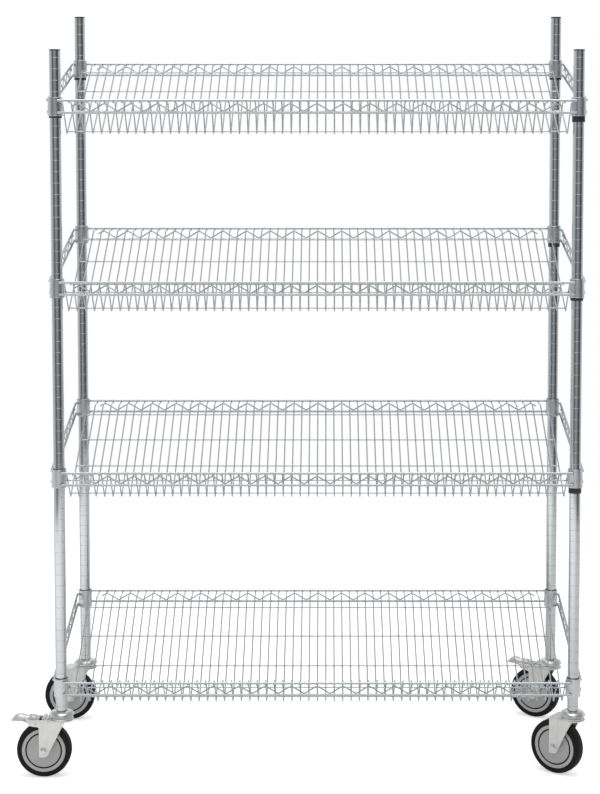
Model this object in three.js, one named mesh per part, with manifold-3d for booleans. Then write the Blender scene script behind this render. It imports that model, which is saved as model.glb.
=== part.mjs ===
// Mobile wire bread rack: four grooved posts, four slanted trough shelves and four swivel casters.
// Millimetres, +Z up, +X to the right of someone facing the rack, +Y to its back.
// The origin is on the floor, midway between the four posts.
import * as THREE from 'three';
import { mergeVertices } from 'three/addons/utils/BufferGeometryUtils.js';
import Module from 'manifold-3d';

const wasm = await Module();
wasm.setup();

// Posts
const POST_SPACING_X = 1170;
const POST_SPACING_Y = 408;
const POST_RADIUS = 12.7;
const POST_WALL = 1.2;
const REAR_POST_LENGTH = 1600;
const GROOVE_PITCH = 25.4;
const SLOPE_GROOVE_COUNT = 4; // the rear collars sit this many grooves above the front ones
const CAP_PLUG_LENGTH = 14;
const CAP_HEAD_HEIGHT = 3;
const CAP_EDGE = 1.2;

// Pieces that touch keep this gap, and welded wires bite this deep into each other
const CLEARANCE = 0.3;
const WELD_BITE = 0.6;
const ROUND_SIDES = 8; // facets of a post, sleeve, collar or stem, with flats to the front and sides

// Shelf heights, as the middle of the front collars
const BOTTOM_SHELF_HEIGHT = 207;
const SHELF_GROOVE_COUNTS = [19, 17, 16]; // from the bottom shelf up

// Shelf collars and the split sleeves wedged in them
const COLLAR_HEIGHT = 42;
const COLLAR_WALL = 2.2;
const SLEEVE_WALL = 1.3;
const SLEEVE_TAPER = 0.6; // growth of the sleeve's radius over the height of a collar, downwards
const SLEEVE_SPLIT = 1.6;

// Shelf trusses
const RAIL_RADIUS = 2.75;
const RAIL_RISE = 13.5; // from the middle of a truss to its rails
const RAIL_BITE = 1; // depth of a rail's weld in the collar's wall
const ZIGZAG_RADIUS = 1.6;
const ZIGZAG_DECK_PITCHES = 3; // one zigzag for this many deck wires
const ZIGZAG_TAIL = 14; // from the last peak to the wire's free end

// Shelf deck: bent wires side by side, with stringers under the slope and one under the lip
const DECK_WIRES = 59;
const DECK_EDGE_INSET = 13.7; // post axis to the outermost wire
const DECK_RADIUS = 1.6;
const LIP_BEND = 18; // behind the front post axis
const VALLEY_BEND = 82; // behind the front post axis
const VALLEY_DEPTH = 60; // below the middle of the front collars
const REAR_BEND = 27; // in front of the rear post axis
const STRINGERS = 4;
const STRINGER_RADIUS = 1.65;
const STRINGER_OVERHANG = 2.7;
const FIRST_STRINGER = 15; // behind the valley
const LAST_STRINGER = 30; // in front of the rear bend
const LIP_STRINGER = 18; // behind the lip's bend
const EDGE_WIRE_CLEAR = 18; // the outermost wires start this far behind the front post axis
const EDGE_WIRE_PAST = 4; // and end this far behind the last stringer

// Casters
const CASTER_HEIGHT = 154; // floor to the foot of a post
const CASTER_TRAIL = 40; // swivel axis to axle
const STEM_LENGTH = 60;
const KINGPIN_RADIUS = 6;
const KINGPIN_HEAD_RADIUS = 9;
const KINGPIN_HEAD_HEIGHT = 3.7;
const RUNNING_GAP = 0.4;
const CUP_RADIUS = 28;
const CUP_HEIGHT = 11.4;
const CUP_CROWN_RADIUS = 20;
const CUP_BRIM = 2.3; // height and depth of the cup's rounded edge
const RACE_RADIUS = 25;
const RACE_HEIGHT = 8;
const RACE_CHAMFER = 2;

// Wheels
const TYRE_CLEARANCE = 6; // from the tyre to the fork's top plate
const TYRE_DEPTH = 12.5; // from the tread to the rim
const WHEEL_SIDES = 16; // with a flat on the floor
const TYRE_WIDTH = 32;
const TREAD_WIDTH = 18;
const TYRE_SHOULDER = 5; // radial height of the rounded shoulder
const RIM_WIDTH = 28;
const RIM_LEDGE = 8; // radial width of the rim's flat ring
const RING_GROOVE = 2.5; // groove between the rim and the dust disc
const RING_GROOVE_DEPTH = 3;
const HUB_RADIUS = 13;
const HUB_WIDTH = 36.4;

// Forks
const FORK_PLATE = 2.5;
const FORK_TOP_PLATE = 3;
const FORK_SIDE_GAP = 0.3; // hub end to fork leg
const FORK_FOOT_RADIUS = 14;
const FORK_BACK = 9.7; // from the axle to the leg's upright edge
const FORK_SHOULDER = 10; // from the leg's top down to the foot of its wing
const FORK_LEG_TOP = 53; // from the axle to the leg's top corner by the stem
const BRAKE_WING = 39; // from the axle to the wing's tip on a fork that carries a brake
const FORK_NOSE = 28; // from the swivel axis to the top plate's round end

// Axle bolts
const BOLT_RADIUS = 4;
const BOLT_HEAD_RADIUS = 6.5;
const BOLT_HEAD_HEIGHT = 5;
const BOLT_STICK_OUT = 1.5; // thread showing past the nut
const NUT_HEIGHT = 6;
const HEX_SIDES = 6;
const HOLE_SIDES = 6; // facets of a hole in a fork leg

// Foot brakes, drawn with the pedal down and lifted about the trunnions to rest
const PEDAL_LIFT = THREE.MathUtils.degToRad(12);
const PEDAL_PIVOT_BACK = 16; // from the axle to the trunnions, away from the stem
const PEDAL_PIVOT_DROP = 5.5; // below the fork's top
const PEDAL_REACH = 115; // swivel axis to the pedal's tip
const PEDAL_WIDTH = 30;
const PEDAL_SHEET = 2.5;
const PEDAL_ARCH = 15; // the point that pulls the pedal's arch up, above its trunnions
const PEDAL_TIP_DROP = 9; // the tip, below the trunnions
const PEDAL_SKIRT = 9; // depth of the pedal's turned-down sides
const PEDAL_STEPS = 5; // flats along the pedal's arch
const TRUNNION_RADIUS = 2.5;
const PEDAL_BOSS_RADIUS = 4.2;
const SHOE_LENGTH = 14;
const SHOE_ANGLE = THREE.MathUtils.degToRad(34); // round the tyre, from its top

// Values that follow from the sizes above
const shelfDrop = SLOPE_GROOVE_COUNT * GROOVE_PITCH;
const frontPostLength = REAR_POST_LENGTH - shelfDrop;
const postBore = POST_RADIUS - POST_WALL;
const halfX = POST_SPACING_X / 2;
const halfY = POST_SPACING_Y / 2;
const sleeveBore = POST_RADIUS + CLEARANCE;
const sleeveRadiusAt = (z) => sleeveBore + SLEEVE_WALL - SLEEVE_TAPER * (z / COLLAR_HEIGHT);
const collarBoreAt = (z) => sleeveRadiusAt(z) + CLEARANCE;
const collarRadiusAt = (z) => collarBoreAt(z) + COLLAR_WALL;
const forkTop = CASTER_HEIGHT - CLEARANCE - CUP_HEIGHT - CLEARANCE - RACE_HEIGHT;
const wheelRadius = (forkTop - FORK_TOP_PLATE - TYRE_CLEARANCE) / 2;
const rimRadius = wheelRadius - TYRE_DEPTH;
const forkInside = HUB_WIDTH / 2 + FORK_SIDE_GAP;
const forkOutside = forkInside + FORK_PLATE;

// Finishes
const finish = (color, roughness, metalness) => new THREE.MeshStandardMaterial({ color, roughness, metalness });
const CHROME = [0xc8ccd2, 0.18, 1];
const ZINC = [0xb8b6b0, 0.38, 1];
const BLACK_PLASTIC = [0x1b1b1d, 0.55, 0];
const GREY_PLASTIC = [0x98979b, 0.5, 0];
const RUBBER = [0x19191a, 0.8, 0];

// Geometry helpers

// A closed body with shared corners, ready to be joined or cut.
function body(geometry) {
  const plain = geometry.clone();
  plain.deleteAttribute('normal');
  plain.deleteAttribute('uv');
  const merged = mergeVertices(plain, 1e-4);
  const corners = merged.getIndex().array;
  const triangles = [];
  for (let i = 0; i < corners.length; i += 3) {
    const [a, b, c] = corners.slice(i, i + 3);
    if (a !== b && b !== c && c !== a) triangles.push(a, b, c);
  }
  const mesh = new wasm.Mesh({
    numProp: 3,
    vertProperties: new Float32Array(merged.getAttribute('position').array),
    triVerts: new Uint32Array(triangles),
  });
  return new wasm.Manifold(mesh);
}

function geometryOf(solid) {
  const mesh = solid.getMesh();
  const geometry = new THREE.BufferGeometry();
  geometry.setAttribute('position', new THREE.BufferAttribute(new Float32Array(mesh.vertProperties), 3));
  geometry.setIndex(new THREE.BufferAttribute(new Uint32Array(mesh.triVerts), 1));
  return geometry;
}

const joined = (pieces) => pieces.map(body).reduce((whole, piece) => whole.add(piece));

// A piece turned about Z from [radius, height] points, anticlockwise in that plane. Its flats lie at
// the stated radii. A profile that doesn't start on the axis is a ring, and closes on itself.
function turned(profile, sides = ROUND_SIDES) {
  const corner = 1 / Math.cos(Math.PI / sides);
  const points = profile.map(([radius, height]) => new THREE.Vector2(radius * corner, height));
  if (profile[0][0] > 0) points.push(points[0].clone());
  return new THREE.LatheGeometry(points, sides, Math.PI / sides).rotateX(Math.PI / 2);
}

// A regular section with the area of a round wire.
function wireSection(radius, sides, turn) {
  const step = (2 * Math.PI) / sides;
  const corner = radius * Math.sqrt(step / Math.sin(step));
  const points = Array.from({ length: sides }, (_, k) => {
    const angle = turn + k * step;
    return new THREE.Vector2(corner * Math.cos(angle), corner * Math.sin(angle));
  });
  return new THREE.Shape(points);
}

// The line of a wire that is bent in one plane: straight runs, with mitred corners at the bends.
class BentLine extends THREE.Curve {
  constructor(points, planeNormal) {
    super();
    this.points = points;
    this.planeNormal = planeNormal;
  }

  getPoint(t, target = new THREE.Vector3()) {
    const place = t * (this.points.length - 1);
    const run = Math.min(Math.floor(place), this.points.length - 2);
    return target.lerpVectors(this.points[run], this.points[run + 1], place - run);
  }

  getSpacedPoints() {
    return this.points;
  }

  direction(run) {
    const inside = THREE.MathUtils.clamp(run, 0, this.points.length - 2);
    return this.points[inside + 1].clone().sub(this.points[inside]).normalize();
  }

  computeFrenetFrames() {
    const tangents = this.points.map((_, i) => this.direction(i - 1).add(this.direction(i)).normalize());
    const normals = this.points.map(() => this.planeNormal);
    const binormals = tangents.map((tangent, i) => {
      const mitre = 1 / tangent.dot(this.direction(i));
      return tangent.clone().cross(this.planeNormal).multiplyScalar(mitre);
    });
    return { tangents, normals, binormals };
  }
}

function wire(points, planeNormal, section) {
  const extrudePath = new BentLine(points, planeNormal);
  return new THREE.ExtrudeGeometry(section, { steps: points.length - 1, bevelEnabled: false, extrudePath });
}

const X_AXIS = new THREE.Vector3(1, 0, 0);
const Y_AXIS = new THREE.Vector3(0, 1, 0);

// The four corners of the rack. The yaw is how far each caster is turned at rest from trailing to -X.
const CORNERS = [
  { name: 'front_left', x: -halfX, y: -halfY, length: frontPostLength, yawDegrees: 0, brake: true },
  { name: 'front_right', x: halfX, y: -halfY, length: frontPostLength, yawDegrees: -36, brake: false },
  { name: 'rear_left', x: -halfX, y: halfY, length: REAR_POST_LENGTH, yawDegrees: 0, brake: false },
  { name: 'rear_right', x: halfX, y: halfY, length: REAR_POST_LENGTH, yawDegrees: -30, brake: true },
];

// The shelves from the top down, with how far each sleeve hangs out below its collar, corner by corner.
// A negative figure stands out above.
const SHELVES = [
  { name: 'top_shelf', sleeveDrops: [4, 13, 6, 5] },
  { name: 'upper_shelf', sleeveDrops: [1, 7, 1, 10] },
  { name: 'lower_shelf', sleeveDrops: [-1, 13, 1, -1] },
  { name: 'bottom_shelf', sleeveDrops: [-1.5, -1.5, -1.5, -1.5] },
];

const rack = new THREE.Group();

function addPiece(parent, name, geometry, look) {
  const piece = new THREE.Mesh(geometry, finish(...look));
  piece.name = name;
  parent.add(piece);
  return piece;
}

// Posts and caps

function postGeometry(length) {
  return turned([[postBore, 0], [POST_RADIUS, 0], [POST_RADIUS, length], [postBore, length]]);
}

function capGeometry() {
  const plug = postBore - CLEARANCE;
  const seat = CLEARANCE;
  return turned([
    [0, -CAP_PLUG_LENGTH],
    [plug, -CAP_PLUG_LENGTH],
    [plug, seat],
    [POST_RADIUS, seat],
    [POST_RADIUS, CAP_HEAD_HEIGHT - CAP_EDGE],
    [POST_RADIUS - CAP_EDGE, CAP_HEAD_HEIGHT],
    [0, CAP_HEAD_HEIGHT],
  ]);
}

for (const corner of CORNERS) {
  const post = addPiece(rack, `${corner.name}_post`, postGeometry(corner.length), CHROME);
  post.position.set(corner.x, corner.y, CASTER_HEIGHT);
  const cap = addPiece(rack, `${corner.name}_post_cap`, capGeometry(), BLACK_PLASTIC);
  cap.position.set(corner.x, corner.y, CASTER_HEIGHT + corner.length);
}

// Shelves. A shelf is drawn about the front post line: y is the way back from it, and z is measured
// from the middle of the front collars.

const railHalf = (RAIL_RADIUS * Math.sqrt(Math.PI)) / 2;
const stringerHalf = (STRINGER_RADIUS * Math.sqrt(Math.PI)) / 2;
const railOut = collarRadiusAt(0) - RAIL_BITE + railHalf;
const collarFlat = collarRadiusAt(0) * Math.tan(Math.PI / ROUND_SIDES);
const railEnd = collarFlat + CLEARANCE;
const deckPitch = (POST_SPACING_X - 2 * DECK_EDGE_INSET) / (DECK_WIRES - 1);
const railSection = wireSection(RAIL_RADIUS, 4, Math.PI / 4);
const stringerSection = wireSection(STRINGER_RADIUS, 4, Math.PI / 4);
const zigzagSection = wireSection(ZIGZAG_RADIUS, 3, Math.PI);
const deckSection = wireSection(DECK_RADIUS, 3, Math.PI / 2);
const deckTop = deckSection.getPoints()[0].y;
const deckFlat = deckTop / 2;

function collarGeometry() {
  const top = COLLAR_HEIGHT / 2;
  return turned([
    [collarBoreAt(-top), -top],
    [collarRadiusAt(-top), -top],
    [collarRadiusAt(top), top],
    [collarBoreAt(top), top],
  ]);
}

// A truss along X about the origin: two rails, and a zigzag wire nested between the bottom rail and a
// ceiling, which is the top rail or the deck wires under it. The zigzag is welded to the ceiling at its
// first and last peaks, and lies close elsewhere.
function trussPieces(span, peaks, peakPitch, ceiling) {
  const railLength = span - 2 * railEnd;
  const rail = (z) => {
    const ends = [new THREE.Vector3(-railLength / 2, 0, z), new THREE.Vector3(railLength / 2, 0, z)];
    return wire(ends, Y_AXIS, railSection);
  };
  const bottom = -RAIL_RISE + railHalf;
  const cornerReach = Math.abs(zigzagSection.getPoints()[1].y);
  const steepness = Math.atan2(ceiling - bottom - 2 * (CLEARANCE + cornerReach), peakPitch / 2);
  const fromSeat = CLEARANCE + cornerReach / Math.cos(steepness);
  const firstPeak = -((peaks - 1) * peakPitch) / 2;
  const line = [new THREE.Vector3(firstPeak - ZIGZAG_TAIL, 0, 0)];
  for (let i = 0; i < 2 * peaks - 1; i += 1) {
    const welded = i === 0 || i === 2 * peaks - 2;
    const peak = ceiling - fromSeat + (welded ? CLEARANCE + WELD_BITE : 0);
    const z = i % 2 === 0 ? peak : bottom + fromSeat;
    line.push(new THREE.Vector3(firstPeak + (i * peakPitch) / 2, 0, z));
  }
  line.push(new THREE.Vector3(-firstPeak + ZIGZAG_TAIL, 0, 0));
  return [rail(RAIL_RISE), rail(-RAIL_RISE), wire(line, Y_AXIS, zigzagSection)];
}

// Where a side truss runs: up the slope from the front collars to the rear ones.
function sidePlacement(x) {
  const along = new THREE.Vector3(0, POST_SPACING_Y, shelfDrop).normalize();
  const up = new THREE.Vector3().crossVectors(X_AXIS, along);
  const across = new THREE.Vector3().crossVectors(up, along);
  return new THREE.Matrix4().makeBasis(along, across, up).setPosition(x, halfY, shelfDrop / 2);
}

const lipHeight = RAIL_RISE - railHalf - CLEARANCE - deckTop;
const rearRunHeight = shelfDrop + RAIL_RISE - (deckTop - deckFlat) / 2;
const rearBend = POST_SPACING_Y - REAR_BEND;
const slopeAngle = Math.atan2(rearRunHeight + VALLEY_DEPTH, rearBend - VALLEY_BEND);
const lipAngle = Math.atan2(-lipHeight - VALLEY_DEPTH, VALLEY_BEND - LIP_BEND);
const onSlope = (y) => -VALLEY_DEPTH + (y - VALLEY_BEND) * Math.tan(slopeAngle);
const onLip = (y) => lipHeight + (y - LIP_BEND) * Math.tan(lipAngle);
const firstStringer = VALLEY_BEND + FIRST_STRINGER;
const lastStringer = rearBend - LAST_STRINGER;

// Most deck wires run from under the front rail down the lip and up the slope, and are welded to the
// rear rail. The outermost two stop short of the collars. These and the middle wire are set down by
// their seat's gap on the lip and the slope, and welded into the stringers. The middle wire is set up
// by the gap under the front rail too, and welded to it.
function deckWire(index) {
  const x = (index - (DECK_WIRES - 1) / 2) * deckPitch;
  const outermost = index === 0 || index === DECK_WIRES - 1;
  const middle = index === (DECK_WIRES - 1) / 2;
  const setDown = outermost || middle ? CLEARANCE + WELD_BITE : 0;
  const lipDrop = setDown / Math.cos(lipAngle);
  const slopeDrop = setDown / Math.cos(slopeAngle);
  const valleyY = VALLEY_BEND + (slopeDrop - lipDrop) / (Math.tan(slopeAngle) - Math.tan(lipAngle));
  const valley = [valleyY, onLip(valleyY) - lipDrop];
  const edgeEnd = lastStringer + EDGE_WIRE_PAST;
  const wholeLine = [
    [-railOut - railHalf + CLEARANCE, lipHeight + setDown],
    [LIP_BEND + (lipDrop + setDown) / Math.tan(lipAngle), lipHeight + setDown],
    valley,
    [rearBend + slopeDrop / Math.tan(slopeAngle), rearRunHeight],
    [POST_SPACING_Y + railOut - railHalf + WELD_BITE, rearRunHeight],
  ];
  const edgeLine = [
    [EDGE_WIRE_CLEAR, onLip(EDGE_WIRE_CLEAR) - lipDrop],
    valley,
    [edgeEnd, onSlope(edgeEnd) - slopeDrop],
  ];
  const line = (outermost ? edgeLine : wholeLine).map(([y, z]) => new THREE.Vector3(x, y, z));
  return wire(line, X_AXIS.clone().negate(), deckSection);
}

// A stringer under the deck wires, where they pass a point at a slant.
function stringer(y, z, angle) {
  const halfLength = halfX - DECK_EDGE_INSET + STRINGER_OVERHANG;
  const below = deckFlat + CLEARANCE + stringerHalf;
  const middle = new THREE.Vector3(0, y + below * Math.sin(angle), z - below * Math.cos(angle));
  const ends = [-halfLength, halfLength].map((x) => middle.clone().setX(x));
  return wire(ends, new THREE.Vector3(0, Math.cos(angle), Math.sin(angle)), stringerSection);
}

function shelfGeometry() {
  const pieces = [];
  for (const x of [-halfX, halfX]) {
    pieces.push(collarGeometry().translate(x, 0, 0));
    pieces.push(collarGeometry().translate(x, POST_SPACING_Y, shelfDrop));
  }
  const peakPitch = ZIGZAG_DECK_PITCHES * deckPitch;
  const longPeaks = Math.floor((DECK_WIRES - 1) / ZIGZAG_DECK_PITCHES);
  const sideSpan = Math.hypot(POST_SPACING_Y, shelfDrop);
  const sidePeaks = Math.floor(POST_SPACING_Y / peakPitch) + 1;
  const underRail = RAIL_RISE - railHalf;
  for (const piece of trussPieces(POST_SPACING_X, longPeaks, peakPitch, lipHeight - deckFlat)) {
    pieces.push(piece.translate(0, -railOut, 0));
  }
  for (const piece of trussPieces(POST_SPACING_X, longPeaks, peakPitch, underRail)) {
    pieces.push(piece.translate(0, POST_SPACING_Y + railOut, shelfDrop));
  }
  for (const piece of trussPieces(sideSpan, sidePeaks, peakPitch, underRail)) {
    pieces.push(piece.clone().applyMatrix4(sidePlacement(-halfX - railOut)));
    pieces.push(piece.clone().applyMatrix4(sidePlacement(halfX + railOut)));
  }
  pieces.push(stringer(LIP_BEND + LIP_STRINGER, onLip(LIP_BEND + LIP_STRINGER), lipAngle));
  for (let i = 0; i < STRINGERS; i += 1) {
    const y = firstStringer + (i * (lastStringer - firstStringer)) / (STRINGERS - 1);
    pieces.push(stringer(y, onSlope(y), slopeAngle));
  }
  for (let i = 0; i < DECK_WIRES; i += 1) pieces.push(deckWire(i));
  return geometryOf(joined(pieces));
}

// A split sleeve clips round the post and wedges in its collar. Its split faces the rack's inside.
function sleeveGeometry(drop, inward) {
  const low = -COLLAR_HEIGHT / 2 - drop;
  const high = COLLAR_HEIGHT / 2 - drop;
  const ring = turned([
    [sleeveBore, low],
    [sleeveRadiusAt(low), low],
    [sleeveRadiusAt(high), high],
    [sleeveBore, high],
  ]);
  const depth = 2 * POST_RADIUS;
  const split = new THREE.BoxGeometry(SLEEVE_SPLIT, depth, 2 * COLLAR_HEIGHT);
  split.translate(0, (inward * depth) / 2, -drop);
  return geometryOf(body(ring).subtract(body(split)));
}

const shelfShape = shelfGeometry();
const shelfHeights = [BOTTOM_SHELF_HEIGHT];
for (const grooves of SHELF_GROOVE_COUNTS) shelfHeights.unshift(shelfHeights[0] + grooves * GROOVE_PITCH);

SHELVES.forEach((shelf, level) => {
  const height = shelfHeights[level];
  addPiece(rack, shelf.name, shelfShape, CHROME).position.set(0, -halfY, height);
  CORNERS.forEach((corner, k) => {
    const rear = corner.y > 0;
    const shape = sleeveGeometry(shelf.sleeveDrops[k], rear ? -1 : 1);
    const sleeve = addPiece(rack, `${shelf.name}_${corner.name}_sleeve`, shape, BLACK_PLASTIC);
    sleeve.position.set(corner.x, corner.y, height + (rear ? shelfDrop : 0));
  });
});

// Casters. A caster is drawn about its swivel axis with the floor at zero and the wheel trailing to -X.

function stemGeometry() {
  const insert = postBore - CLEARANCE;
  const headTop = forkTop - FORK_TOP_PLATE - CLEARANCE;
  const top = CASTER_HEIGHT + STEM_LENGTH;
  return turned([
    [0, headTop - KINGPIN_HEAD_HEIGHT],
    [KINGPIN_HEAD_RADIUS, headTop - KINGPIN_HEAD_HEIGHT],
    [KINGPIN_HEAD_RADIUS, headTop],
    [KINGPIN_RADIUS, headTop],
    [KINGPIN_RADIUS, CASTER_HEIGHT],
    [insert, CASTER_HEIGHT],
    [insert, top],
    [0, top],
  ]);
}

function swivelCupGeometry() {
  const top = CASTER_HEIGHT - CLEARANCE;
  const bore = KINGPIN_RADIUS + CLEARANCE;
  return turned([
    [bore, top - CUP_HEIGHT],
    [CUP_RADIUS - CUP_BRIM, top - CUP_HEIGHT],
    [CUP_RADIUS, top - CUP_HEIGHT + CUP_BRIM],
    [CUP_RADIUS - CUP_BRIM, top - 2 * CUP_BRIM],
    [CUP_CROWN_RADIUS, top],
    [bore, top],
  ]);
}

// The radius to a faceted pin's corners, where its flats lie at the stated radius.
const cornerRadius = (radius, sides = ROUND_SIDES) => radius / Math.cos(Math.PI / sides);

// A hole whose flats clear the corners of a pin, whichever way the pin is turned.
function roundHole(x, y, pinCorner) {
  const hole = new THREE.Path();
  hole.absarc(x, y, cornerRadius(pinCorner + RUNNING_GAP, HOLE_SIDES), 0, 2 * Math.PI, true);
  return hole;
}

// One fork leg in its own plane: x from the axle towards the stem, y up from the axle. A leg that
// carries a brake has a wing at its back.
function legShape(brake) {
  const top = forkTop - wheelRadius;
  const shoulder = top - FORK_TOP_PLATE - FORK_SHOULDER - FORK_PLATE;
  const leg = new THREE.Shape();
  leg.moveTo(FORK_LEG_TOP, top);
  if (brake) {
    leg.lineTo(-BRAKE_WING, top);
    leg.lineTo(-BRAKE_WING + FORK_PLATE, top - FORK_TOP_PLATE);
    leg.quadraticCurveTo(-BRAKE_WING + FORK_SHOULDER, shoulder, -FORK_BACK, shoulder);
  } else {
    leg.lineTo(-FORK_BACK, top);
  }
  leg.lineTo(-FORK_BACK, -FORK_BACK);
  leg.absarc(0, 0, FORK_FOOT_RADIUS, (5 * Math.PI) / 4, 2 * Math.PI, false);
  leg.lineTo(FORK_LEG_TOP - FORK_SHOULDER, shoulder);
  leg.holes.push(roundHole(0, 0, cornerRadius(BOLT_RADIUS, HEX_SIDES)));
  const trunnion = cornerRadius(TRUNNION_RADIUS);
  if (brake) leg.holes.push(roundHole(-PEDAL_PIVOT_BACK, top - PEDAL_PIVOT_DROP, trunnion));
  return leg;
}

// The fork: two legs, a top plate round-nosed at the stem, and the lower race of the swivel on it.
function forkGeometry(brake) {
  const leg = new THREE.ExtrudeGeometry(legShape(brake), {
    depth: FORK_PLATE,
    bevelEnabled: false,
    curveSegments: HOLE_SIDES / 2,
  });
  leg.rotateX(Math.PI / 2).translate(-CASTER_TRAIL, 0, wheelRadius);
  const noseTurn = Math.asin(forkOutside / FORK_NOSE);
  const plateBack = brake ? -CASTER_TRAIL : -CASTER_TRAIL - FORK_BACK;
  const plateShape = new THREE.Shape();
  plateShape.moveTo(plateBack, -forkOutside);
  plateShape.absarc(0, 0, FORK_NOSE, -noseTurn, noseTurn, false);
  plateShape.lineTo(plateBack, forkOutside);
  const plate = new THREE.ExtrudeGeometry(plateShape, {
    depth: FORK_TOP_PLATE,
    bevelEnabled: false,
    curveSegments: HOLE_SIDES / 2,
  });
  plate.translate(0, 0, forkTop - FORK_TOP_PLATE);
  const race = turned([
    [0, forkTop - FORK_TOP_PLATE / 2],
    [RACE_RADIUS, forkTop - FORK_TOP_PLATE / 2],
    [RACE_RADIUS, forkTop + RACE_HEIGHT - RACE_CHAMFER],
    [RACE_RADIUS - RACE_CHAMFER, forkTop + RACE_HEIGHT],
    [0, forkTop + RACE_HEIGHT],
  ]);
  const bore = cornerRadius(KINGPIN_RADIUS) + RUNNING_GAP;
  const kingpinHole = turned([[0, 0], [bore, 0], [bore, CASTER_HEIGHT], [0, CASTER_HEIGHT]]);
  const legs = [leg.clone().translate(0, forkOutside, 0), leg.clone().translate(0, -forkInside, 0)];
  return geometryOf(joined([plate, race, ...legs]).subtract(body(kingpinHole)));
}

// Pieces on the axle are turned about Z and then laid along Y, with +Z turned to the caster's front side.
const alongAxle = (geometry) => geometry.rotateX(Math.PI / 2);

function axleBoltGeometry() {
  const seat = forkOutside + CLEARANCE;
  const end = -seat - NUT_HEIGHT - BOLT_STICK_OUT;
  return alongAxle(
    turned(
      [
        [0, end],
        [BOLT_RADIUS, end],
        [BOLT_RADIUS, seat],
        [BOLT_HEAD_RADIUS, seat],
        [BOLT_HEAD_RADIUS, seat + BOLT_HEAD_HEIGHT],
        [0, seat + BOLT_HEAD_HEIGHT],
      ],
      HEX_SIDES,
    ),
  );
}

function axleNutGeometry() {
  const seat = forkOutside + CLEARANCE;
  const bore = BOLT_RADIUS + CLEARANCE;
  return alongAxle(
    turned(
      [
        [bore, -seat - NUT_HEIGHT],
        [BOLT_HEAD_RADIUS, -seat - NUT_HEIGHT],
        [BOLT_HEAD_RADIUS, -seat],
        [bore, -seat],
      ],
      HEX_SIDES,
    ),
  );
}

// A wheel part from one side of its profile, mirrored across the wheel's middle plane.
function wheelPart(side) {
  const mirrored = side.map(([radius, z]) => [radius, -z]).reverse();
  return alongAxle(turned([...mirrored, ...side], WHEEL_SIDES));
}

function wheelCoreGeometry() {
  const bore = cornerRadius(BOLT_RADIUS, HEX_SIDES) + RUNNING_GAP;
  const ledge = rimRadius - RIM_LEDGE;
  const disc = ledge - RING_GROOVE;
  const groove = RIM_WIDTH / 2 - RING_GROOVE_DEPTH;
  return wheelPart([
    [rimRadius, RIM_WIDTH / 2],
    [ledge, RIM_WIDTH / 2],
    [disc, groove],
    [HUB_RADIUS, HUB_WIDTH / 2],
    [bore, HUB_WIDTH / 2],
  ]);
}

function tyreGeometry() {
  return wheelPart([
    [wheelRadius, TREAD_WIDTH / 2],
    [wheelRadius - TYRE_SHOULDER, TYRE_WIDTH / 2],
    [rimRadius + CLEARANCE, RIM_WIDTH / 2],
  ]);
}

// The brake is drawn about its trunnions, along Y, with the pedal down. The pedal is an arched sheet
// with its sides turned down.
const pivotX = -CASTER_TRAIL - PEDAL_PIVOT_BACK;
const pivotZ = forkTop - PEDAL_PIVOT_DROP;
const pedalReach = PEDAL_REACH + pivotX;
const pedalCurve = (arch) =>
  new THREE.QuadraticBezierCurve(
    new THREE.Vector2(0, PEDAL_BOSS_RADIUS),
    new THREE.Vector2(-pedalReach / 2, arch),
    new THREE.Vector2(-pedalReach, -PEDAL_TIP_DROP),
  );
const archTop = pedalCurve(PEDAL_ARCH);
const skirtEdge = pedalCurve(PEDAL_ARCH - 2 * PEDAL_SKIRT);
const underArch = (point) => point.clone().setY(point.y - PEDAL_SHEET);

function acrossCaster(shape, width) {
  const solid = new THREE.ExtrudeGeometry(shape, { depth: width, bevelEnabled: false });
  return solid.rotateX(Math.PI / 2).translate(0, width / 2, 0);
}

function pedalGeometry() {
  const top = archTop.getPoints(PEDAL_STEPS);
  const plate = acrossCaster(new THREE.Shape([...top, ...top.map(underArch).reverse()]), PEDAL_WIDTH);
  const edge = skirtEdge.getPoints(PEDAL_STEPS).slice(1, -1);
  const skirt = acrossCaster(new THREE.Shape([...top, ...edge.reverse()]), PEDAL_SHEET);
  const skirtOut = (PEDAL_WIDTH - PEDAL_SHEET) / 2;
  const skirts = [-skirtOut, skirtOut].map((y) => skirt.clone().translate(0, y, 0));
  const rod = (radius, width) => {
    const profile = [[0, -width / 2], [radius, -width / 2], [radius, width / 2], [0, width / 2]];
    return alongAxle(turned(profile));
  };
  const rods = [rod(PEDAL_BOSS_RADIUS, PEDAL_WIDTH), rod(TRUNNION_RADIUS, 2 * forkOutside)];
  return geometryOf(joined([plate, ...skirts, ...rods]));
}

// The shoe hangs under the pedal. With the pedal down its face lies against the tyre.
function shoeGeometry() {
  const outward = new THREE.Vector2(-Math.sin(SHOE_ANGLE), Math.cos(SHOE_ANGLE));
  const along = new THREE.Vector2(-outward.y, outward.x);
  const wheel = new THREE.Vector2(PEDAL_PIVOT_BACK, wheelRadius - pivotZ);
  const face = wheel.addScaledVector(outward, cornerRadius(wheelRadius, WHEEL_SIDES) + CLEARANCE);
  const ends = [-SHOE_LENGTH / 2, SHOE_LENGTH / 2].map((way) => face.clone().addScaledVector(along, way));
  const seats = ends.map(({ x }) => {
    const seat = underArch(archTop.getPoint(-x / pedalReach));
    return seat.setY(seat.y - 2 * CLEARANCE);
  });
  return acrossCaster(new THREE.Shape([ends[0], seats[0], seats[1], ends[1]]), TREAD_WIDTH);
}

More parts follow.
